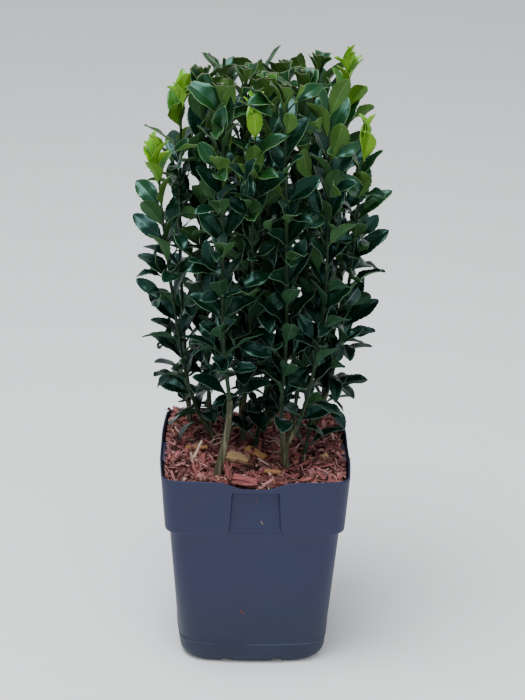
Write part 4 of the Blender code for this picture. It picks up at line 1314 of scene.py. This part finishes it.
    def grow_finer_twig(self, joint, turn, length, rng):
        along = self.line.along(joint.distance)
        away = away_from(along, turn)
        foot = self.line.at(joint.distance) + along * FINER_LIFT
        outward = Vector((foot.x, foot.y, 0))
        outer = away.dot(outward) > OUTER_FROM * outward.length
        if outer and rng.random() > OUTER_TWIG_CHANCE:
            return
        length *= OUTER_SHORTER if outer else 1.0
        tip = foot + (away * 0.72 + along * 0.7).normalized() * length
        twig = Line([foot, foot.lerp(tip, 0.5) - away * FINER_SAG, tip])
        guard = plain_tube(twig, (length * 0.4, length), (FINER_ROOM, FINER_ROOM), 3)
        if self.crowd.touches(*skin(guard), self.owner, own=False):
            return
        before = len(self.leaves)
        scale = rng.uniform(*(OUTER_SCALES if outer else INNER_SCALES))
        end = Joint(twig.length - 0.8 * MM, rng.uniform(0, math.pi), joint.share, 0.1, 0.0)
        for leaf in pair_leaves(twig, end, rng, scale):
            self.place(leaf, joint.share)
        if len(self.leaves) > before:
            self.twigs.append((twig, FINER_RADII))

    def face_the_light(self, seed):
        """Rolls each blade about its rib, so that its upper side faces out and up if it has room."""
        rng = random.Random(seed * 3 + 4)
        for k, (leaf, _, _, young, number) in enumerate(self.leaves):
            light = Vector((leaf.root.x, leaf.root.y, 0)) / CROWN_HALF + Vector((0, 0, LIGHT_RISE))
            light -= leaf.along * light.dot(leaf.along)
            wanted = math.atan2(leaf.along.dot(leaf.face.cross(light)), leaf.face.dot(light))
            most = math.radians(rng.uniform(*BLADE_ROLL))
            wanted = min(max(wanted, -most), most) * (1 - young)
            for part in (1.0, 0.7, 0.4):
                rolled = leaf._replace(face=Quaternion(leaf.along, wanted * part) @ leaf.face)
                if self.crowd.has_room(number, *leaf_guard(rolled, OWN_START, OWN_CLEAR)):
                    self.crowd.change(number, leaf_points(rolled), LEAF_FACES)
                    self.leaves[k] = self.leaves[k]._replace(leaf=rolled)
                    break


def grow_all():
    """Grows every shoot, then its low, cut or closed pairs and finer twigs, and turns the blades."""
    crowd = Crowd()
    for name in SHOOTS:
        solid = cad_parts[limb_of(name)].data
        points = [vertex.co.copy() for vertex in solid.vertices]
        crowd.add(solid.name, points, [tuple(face.vertices) for face in solid.polygons])
        stations = np.linspace(STARTS[name] + BARK_GAP, LINES[name].length, 6)
        radii = np.linspace(TWIG_FOOT_RADIUS, TWIG_TIP_RADIUS, 6) * 1.25
        crowd.add(f"leaves_{name}", *skin(plain_tube(LINES[name], stations, radii, 3)))
    growths = []
    for name, shoot in SHOOTS.items():
        start = STARTS[name] + BARE_LEADER
        growths.append(Growth(name, start, shoot.turn, shoot.top, shoot.seed, crowd))
    for name, (foot, tip, first_turn, seed) in SPROUTS.items():
        foot, tip = over_mulch(*foot), over_mulch(*tip)
        LINES[name] = Line([foot, foot.lerp(tip, 0.5) + Vector((0, 0, MM)), tip])
        STARTS[name] = SPROUT_BARE
        growths.append(Growth(name, SPROUT_BARE + 3 * MM, first_turn, "sprout", seed, crowd))
    for growth, (name, shoot) in zip(growths, SHOOTS.items()):
        if shoot.knee[1] > BARE_FRONT:
            growth.grow_low(limb_of(name))
        if shoot.top == "clipped":
            growth.grow_cup()
        if shoot.top == "young":
            growth.grow_bud()
        growth.grow_finer()
    for number, growth in enumerate(growths):
        growth.face_the_light(number)
    return growths


GROWTHS = grow_all()

# The leaf's own form: places along it, places across it, and how wide it is along its blade
LEAF_STEPS = 20
SMALL_LEAF_STEPS = 12
PETIOLE_STEPS = 2
ACROSS = np.array([-1.0, -0.945, -0.52, -0.045, 0.045, 0.52, 0.945, 1.0])
BLADE_PLACES = (0.0, 0.05, 0.12, 0.25, 0.40, 0.54, 0.68, 0.81, 0.91, 0.97, 1.0)
BLADE_WIDTHS = (0.08, 0.17, 0.35, 0.70, 0.95, 1.0, 0.94, 0.76, 0.51, 0.28, 0.06)
PETIOLE = 0.0033
PETIOLE_HALF = 0.00042
BLADE_THICK = 0.00026
RIM_THICK = 0.00005
CUT_RIM = 0.0006
WIDTH_OF_GUARD = 0.85
TOOTH = 0.035
SMALL_LEAF = 0.0225
YOUNG_FOLD = 0.9
YOUNG_NARROW = 0.45
UPPER, UNDER, RIB, RIM, CUT, STALK = range(6)


def leaf_grid(steps):
    """Faces of one leaf with their kinds: an upper and a lower skin, joined round the rim."""
    columns = len(ACROSS)
    below = (steps + 1) * columns
    middle = columns // 2 - 1
    faces = []
    kinds = []
    for row in range(steps):
        for column in range(columns - 1):
            a = row * columns + column
            b, c, d = a + 1, a + columns + 1, a + columns
            stalk = row < PETIOLE_STEPS
            edge = column in (0, columns - 2)
            faces.append((a, b, c, d))
            kinds.append(STALK if stalk else RIB if column == middle else RIM if edge else UPPER)
            faces.append((a + below, d + below, c + below, b + below))
            kinds.append(STALK if stalk or column == middle else UNDER)
    for column, flip in ((0, False), (columns - 1, True)):
        rim = [row * columns + column for row in range(steps + 1)]
        faces += rim_faces(rim, below, flip)
    for row, flip in ((0, True), (steps, False)):
        rim = [row * columns + column for column in range(columns)]
        faces += rim_faces(rim, below, flip)
    kinds += [RIM] * (len(faces) - len(kinds))
    last_row = [max(face) % below >= steps * columns for face in faces]
    return np.array(faces, np.int32), np.array(kinds, np.int8), np.array(last_row)


def rim_faces(rim, below, flip):
    """Faces that join one side of the upper skin to the same side of the lower one."""
    pairs = zip(rim, rim[1:])
    return [(a, a + below, d + below, d) if flip else (a, d, d + below, a + below) for a, d in pairs]


GRIDS = {steps: leaf_grid(steps) for steps in (LEAF_STEPS, SMALL_LEAF_STEPS)}


def leaf_skin(leaf, kept_part, young, steps, rng):
    """Points of one leaf: an upper and a lower grid."""
    root, along, face, length, width = leaf
    side = np.array(along.cross(face))
    root, along, face = np.array(root), np.array(along), np.array(face)
    whole = length / kept_part
    stalk = PETIOLE / whole
    blade = np.linspace(0, 1, steps - PETIOLE_STEPS + 1)
    places = np.concatenate((np.linspace(0, stalk, PETIOLE_STEPS + 1)[:-1], stalk + (1 - stalk) * blade))
    places = places * min(kept_part * 1.02, 1.0)
    if kept_part < 1:
        places[-2] = places[-1] - CUT_RIM / whole
    on_blade = np.clip((places - stalk) / (1 - stalk), 0, 1)
    half = np.interp(on_blade, BLADE_PLACES, BLADE_WIDTHS) * width / 2 * WIDTH_OF_GUARD
    half = half * (1 - YOUNG_NARROW * young * on_blade)
    if kept_part < 1:
        half = half * 1.12
    teeth = np.where(np.arange(steps + 1) % 2, 1.0, -1.0) * TOOTH
    teeth = teeth * ((on_blade > 0.2) & (on_blade < 0.97))
    half = np.maximum(half * (1 + teeth), PETIOLE_HALF)
    fold = rng.uniform(0.9, 2.0) * LEAF_FOLD * (1 + YOUNG_FOLD * young)
    curl = rng.uniform(-0.04, 0.13)
    arch = rng.uniform(0.04, 0.12)
    wave = rng.uniform(0.0002, 0.0008)
    aside = rng.gauss(0, 0.035) * whole
    phase = rng.uniform(0, 2 * math.pi)
    rolled = rng.uniform(0.2, 0.5)
    spread = np.abs(ACROSS)
    lift = np.outer(half / (width / 2), fold * (spread ** 1.15 - rolled * spread ** 5))
    lift += wave * np.outer(np.sin(places * 14 + phase), np.sign(ACROSS) * spread ** 2)
    lift += ((arch * np.sin(math.pi * places) - curl * places ** 2.4) * whole)[:, None]
    across = np.outer(half, ACROSS) * (1 - 0.04 * spread)
    across += (aside * places ** 2)[:, None]
    thick = BLADE_THICK * (1 - 0.72 * spread ** 2)
    thick = np.maximum(np.outer(np.where(on_blade > 0, 1.0, 1.7), thick), RIM_THICK)
    middle = root + places[:, None, None] * whole * along + across[:, :, None] * side
    middle = middle + lift[:, :, None] * face
    raised = thick[:, :, None] * face
    return np.concatenate(((middle + raised).reshape(-1, 3), (middle - raised).reshape(-1, 3)))


# A waxy leaf mirrors the sky a little blue-green
SHEEN = (0.42, 0.86, 0.80)
UPPER_GLOSS = 0.42
UNDER_GLOSS = 0.2


def leaf_face(name, dark, light, roughness, relief, specular=None):
    made, tree, shader = new_material(name, roughness, specular)
    shader.inputs["Specular Tint"].default_value = (*SHEEN, 1)
    colour = uneven(tree, 120, dark, light, 2.2)[0]
    grain = uneven(tree, 1500, (0, 0, 0), (1, 1, 1), 1.5)[1]
    set_surface(tree, shader, colour, grain, relief, 0.5)
    return made


# Dark and light colour of the upper side, then of the underside
LEAF_TONES = {
    "old": ((0.0006, 0.008, 0.0048), (0.0014, 0.0155, 0.0082),
            (0.0125, 0.04, 0.017), (0.0195, 0.058, 0.0225)),
    "full": ((0.0009, 0.0105, 0.0052), (0.0026, 0.0215, 0.009),
             (0.0245, 0.066, 0.0205), (0.036, 0.089, 0.025)),
    "bright": ((0.0034, 0.025, 0.0055), (0.009, 0.048, 0.0085),
               (0.05, 0.113, 0.021), (0.07, 0.148, 0.025)),
    "fresh": ((0.025, 0.1, 0.006), (0.05, 0.16, 0.009), (0.08, 0.19, 0.012), (0.11, 0.24, 0.016)),
    "tip": ((0.09, 0.26, 0.005), (0.15, 0.36, 0.008), (0.15, 0.33, 0.018), (0.21, 0.41, 0.028)),
}


def leaf_materials():
    """Upper side, underside, rib, rim, cut edge and stalk for each tone."""
    made = {}
    cut = leaf_face("browned cut edge", (0.045, 0.060, 0.026), (0.13, 0.135, 0.066), 0.8, 0.0001)
    for tone, (dark, light, under_dark, under_light) in LEAF_TONES.items():
        upper = leaf_face(f"{tone} leaf upper side", dark, light, 0.27, 0.00004, UPPER_GLOSS)
        under = leaf_face(f"{tone} leaf underside", under_dark, under_light, 0.6, 0.00006, UNDER_GLOSS)
        bright = [min(value * 1.35 + 0.02, 0.9) for value in under_light]
        rim_dark = [value * 1.1 + 0.020 for value in under_light]
        rim_light = [value * 1.3 + 0.065 for value in under_light]
        rib_light = [a * 0.9 + b * 0.1 for a, b in zip(light, under_light)]
        rib = leaf_face(f"{tone} leaf rib", light, rib_light, 0.35, 0.00003)
        rim = leaf_face(f"{tone} leaf rim", rim_dark, rim_light, 0.5, 0.00003)
        stalk = leaf_face(f"{tone} leaf stalk", under_light, bright, 0.5, 0.00003)
        made[tone] = (upper, under, rib, rim, cut, stalk)
    return made


LEAF_MATERIALS = leaf_materials()
# From which youth, or from which share of the shoot's height, a leaf has each tone
TIP_YOUTH = 0.45
FRESH_YOUTH = 0.22
FRESH_CHANCE = 0.03
BRIGHT_HEIGHT = 0.81
FULL_HEIGHT = 0.48
TONE_MIXING = 0.25


def tone_of(share, young, rng):
    """Leaves darken with age, so the tone goes by youth first and then by height."""
    chance = rng.random()
    height = share + TONE_MIXING * (chance - 0.5)
    if young > TIP_YOUTH:
        return "tip"
    if young > FRESH_YOUTH or (share > 0.8 and chance < FRESH_CHANCE):
        return "fresh"
    if young > 0 or height > BRIGHT_HEIGHT:
        return "bright"
    return "full" if height > FULL_HEIGHT else "old"


def make_foliage(growth):
    """Joins the leaves of one shoot as a piece, in place of the shoot's solid."""
    rng = random.Random(growth.seed + 500)
    surfaces = []
    points = []
    faces = []
    numbers = []
    corners = 0
    for leaf, kept_part, share, young, _ in growth.leaves:
        kinds_of_surface = LEAF_MATERIALS[tone_of(share, young, rng)]
        small = leaf.length < SMALL_LEAF or kept_part < 1
        steps = SMALL_LEAF_STEPS if small else LEAF_STEPS
        grid_faces, kinds, last_row = GRIDS[steps]
        if kept_part < 1:
            kinds = np.where(last_row, CUT, kinds)
        surfaces += [surface for surface in kinds_of_surface if surface not in surfaces]
        slots = np.array([surfaces.index(surface) for surface in kinds_of_surface], np.int32)
        faces.append(grid_faces + corners)
        numbers.append(slots[kinds])
        points.append(leaf_skin(leaf, kept_part, young, steps, rng))
        corners += len(points[-1])
    points, faces, numbers = (np.concatenate(parts) for parts in (points, faces, numbers))
    foliage = shaped(f"foliage_{growth.name}", points, faces.tolist(), surfaces)
    foliage.data.polygons.foreach_set("material_index", numbers)
    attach(foliage, "root")
    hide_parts(f"leaves_{growth.name}")


for grown_shoot in GROWTHS:
    make_foliage(grown_shoot)


# Green twigs
# The upper part of each shoot is still green, a little swollen where each pair of leaves joins
# it, with short side twigs. Where the shears cut it, a stub shows its pale wood.
# Its relief: sides, step along, height of the ridges, seed
TWIG_RELIEF = (10, 0.0016, 0.00008, 5)
JOINT_REACH = 0.0016
JOINT_SWELL = 0.2
BETWEEN_JOINTS = 0.74
CUT_RADIUS = 0.0016
STUB_SUNK = 0.0015
STUB_RADII = (CUT_RADIUS * 0.74, CUT_RADIUS * 0.7)


def twig_skin():
    made, tree, shader = new_material("green twig", 0.55, 0.25)
    colour, mask = uneven(tree, 160, (0.0045, 0.019, 0.0085), (0.016, 0.04, 0.014), 2.2, (1, 1, 0.3))
    set_surface(tree, shader, colour, mask, 0.00018, 0.7)
    return made


GREEN_TWIG = twig_skin()
CUT_WOOD = leaf_face("pale cut wood", (0.20, 0.17, 0.10), (0.42, 0.37, 0.24), 0.85, 0.0001)


def leader_skin(growth):
    """The green stem itself, from the end of the bark up."""
    line = growth.line
    start = STARTS[growth.name]
    end_radius = CUT_RADIUS if growth.top == "clipped" else TWIG_TIP_RADIUS

    def radius_at(distance):
        share = (distance - start) / (line.length - start)
        radius = TWIG_FOOT_RADIUS * (1 - share) + end_radius * share
        near = min(abs(distance - joint.distance) for joint in growth.joints)
        return radius * (BETWEEN_JOINTS + JOINT_SWELL * math.exp(-((near / JOINT_REACH) ** 2)))

    return skin(rough_tube(line, start - MM, line.length, radius_at, *TWIG_RELIEF))


def stub_skin(line):
    end = line.at(line.length - MM)
    rise = max(MULCH_LEVEL + CLIP_HEIGHT - STUB_SUNK - end.z, 2 * MM)
    reach = line.along(line.length) * rise
    stub = Line([end, end + reach / 2, end + reach])
    return skin(plain_tube(stub, (0.0, stub.length), STUB_RADII, 9))


def make_twigs(growth):
    """Joins the green stem of one shoot, its stub and its side twigs as a piece."""
    skins = [leader_skin(growth)]
    for twig, (foot, tip) in growth.twigs:
        stations = np.linspace(0, twig.length, 5)
        skins.append(skin(plain_tube(twig, stations, np.linspace(foot, tip, 5), 7)))
    cut_skins = [0]
    if growth.top == "clipped":
        cut_skins.append(len(skins))
        skins.append(stub_skin(growth.line))
    points = []
    faces = []
    cut_faces = []
    for number, (more, more_faces) in enumerate(skins):
        faces += [tuple(corner + len(points) for corner in face) for face in more_faces]
        points += more
        if number in cut_skins:
            cut_faces.append(len(faces) - 1)
    piece = shaped(f"twigs_{growth.name}", points, faces, [GREEN_TWIG, CUT_WOOD], 60)
    for number in cut_faces:
        piece.data.polygons[number].material_index = 1
    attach(piece, "root")


for grown_shoot in GROWTHS:
    make_twigs(grown_shoot)


# Feet of the sprouts
# Two low shoots rise straight from the mulch on a short bare foot, thicker at the ground and in
# the same bark as the stems.
SPROUT_RADIUS = 0.0013
SPROUT_RELIEF = (12, 0.001, 0.00008, 9)


def make_sprout_foot(name):
    def radius_at(distance):
        return SPROUT_RADIUS * (1.25 - 0.3 * distance / SPROUT_BARE)

    rings = rough_tube(LINES[name], 0.0, SPROUT_BARE, radius_at, *SPROUT_RELIEF)
    for point in rings[0]:
        point.z = MULCH_LEVEL - STEM_SUNK
    foot = shaped(f"bark_stem_{name}", *skin(rings), [STEM_BARK])
    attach(foot, "root")
    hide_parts(f"stem_{name}")


for sprout_name in SPROUTS:
    make_sprout_foot(sprout_name)
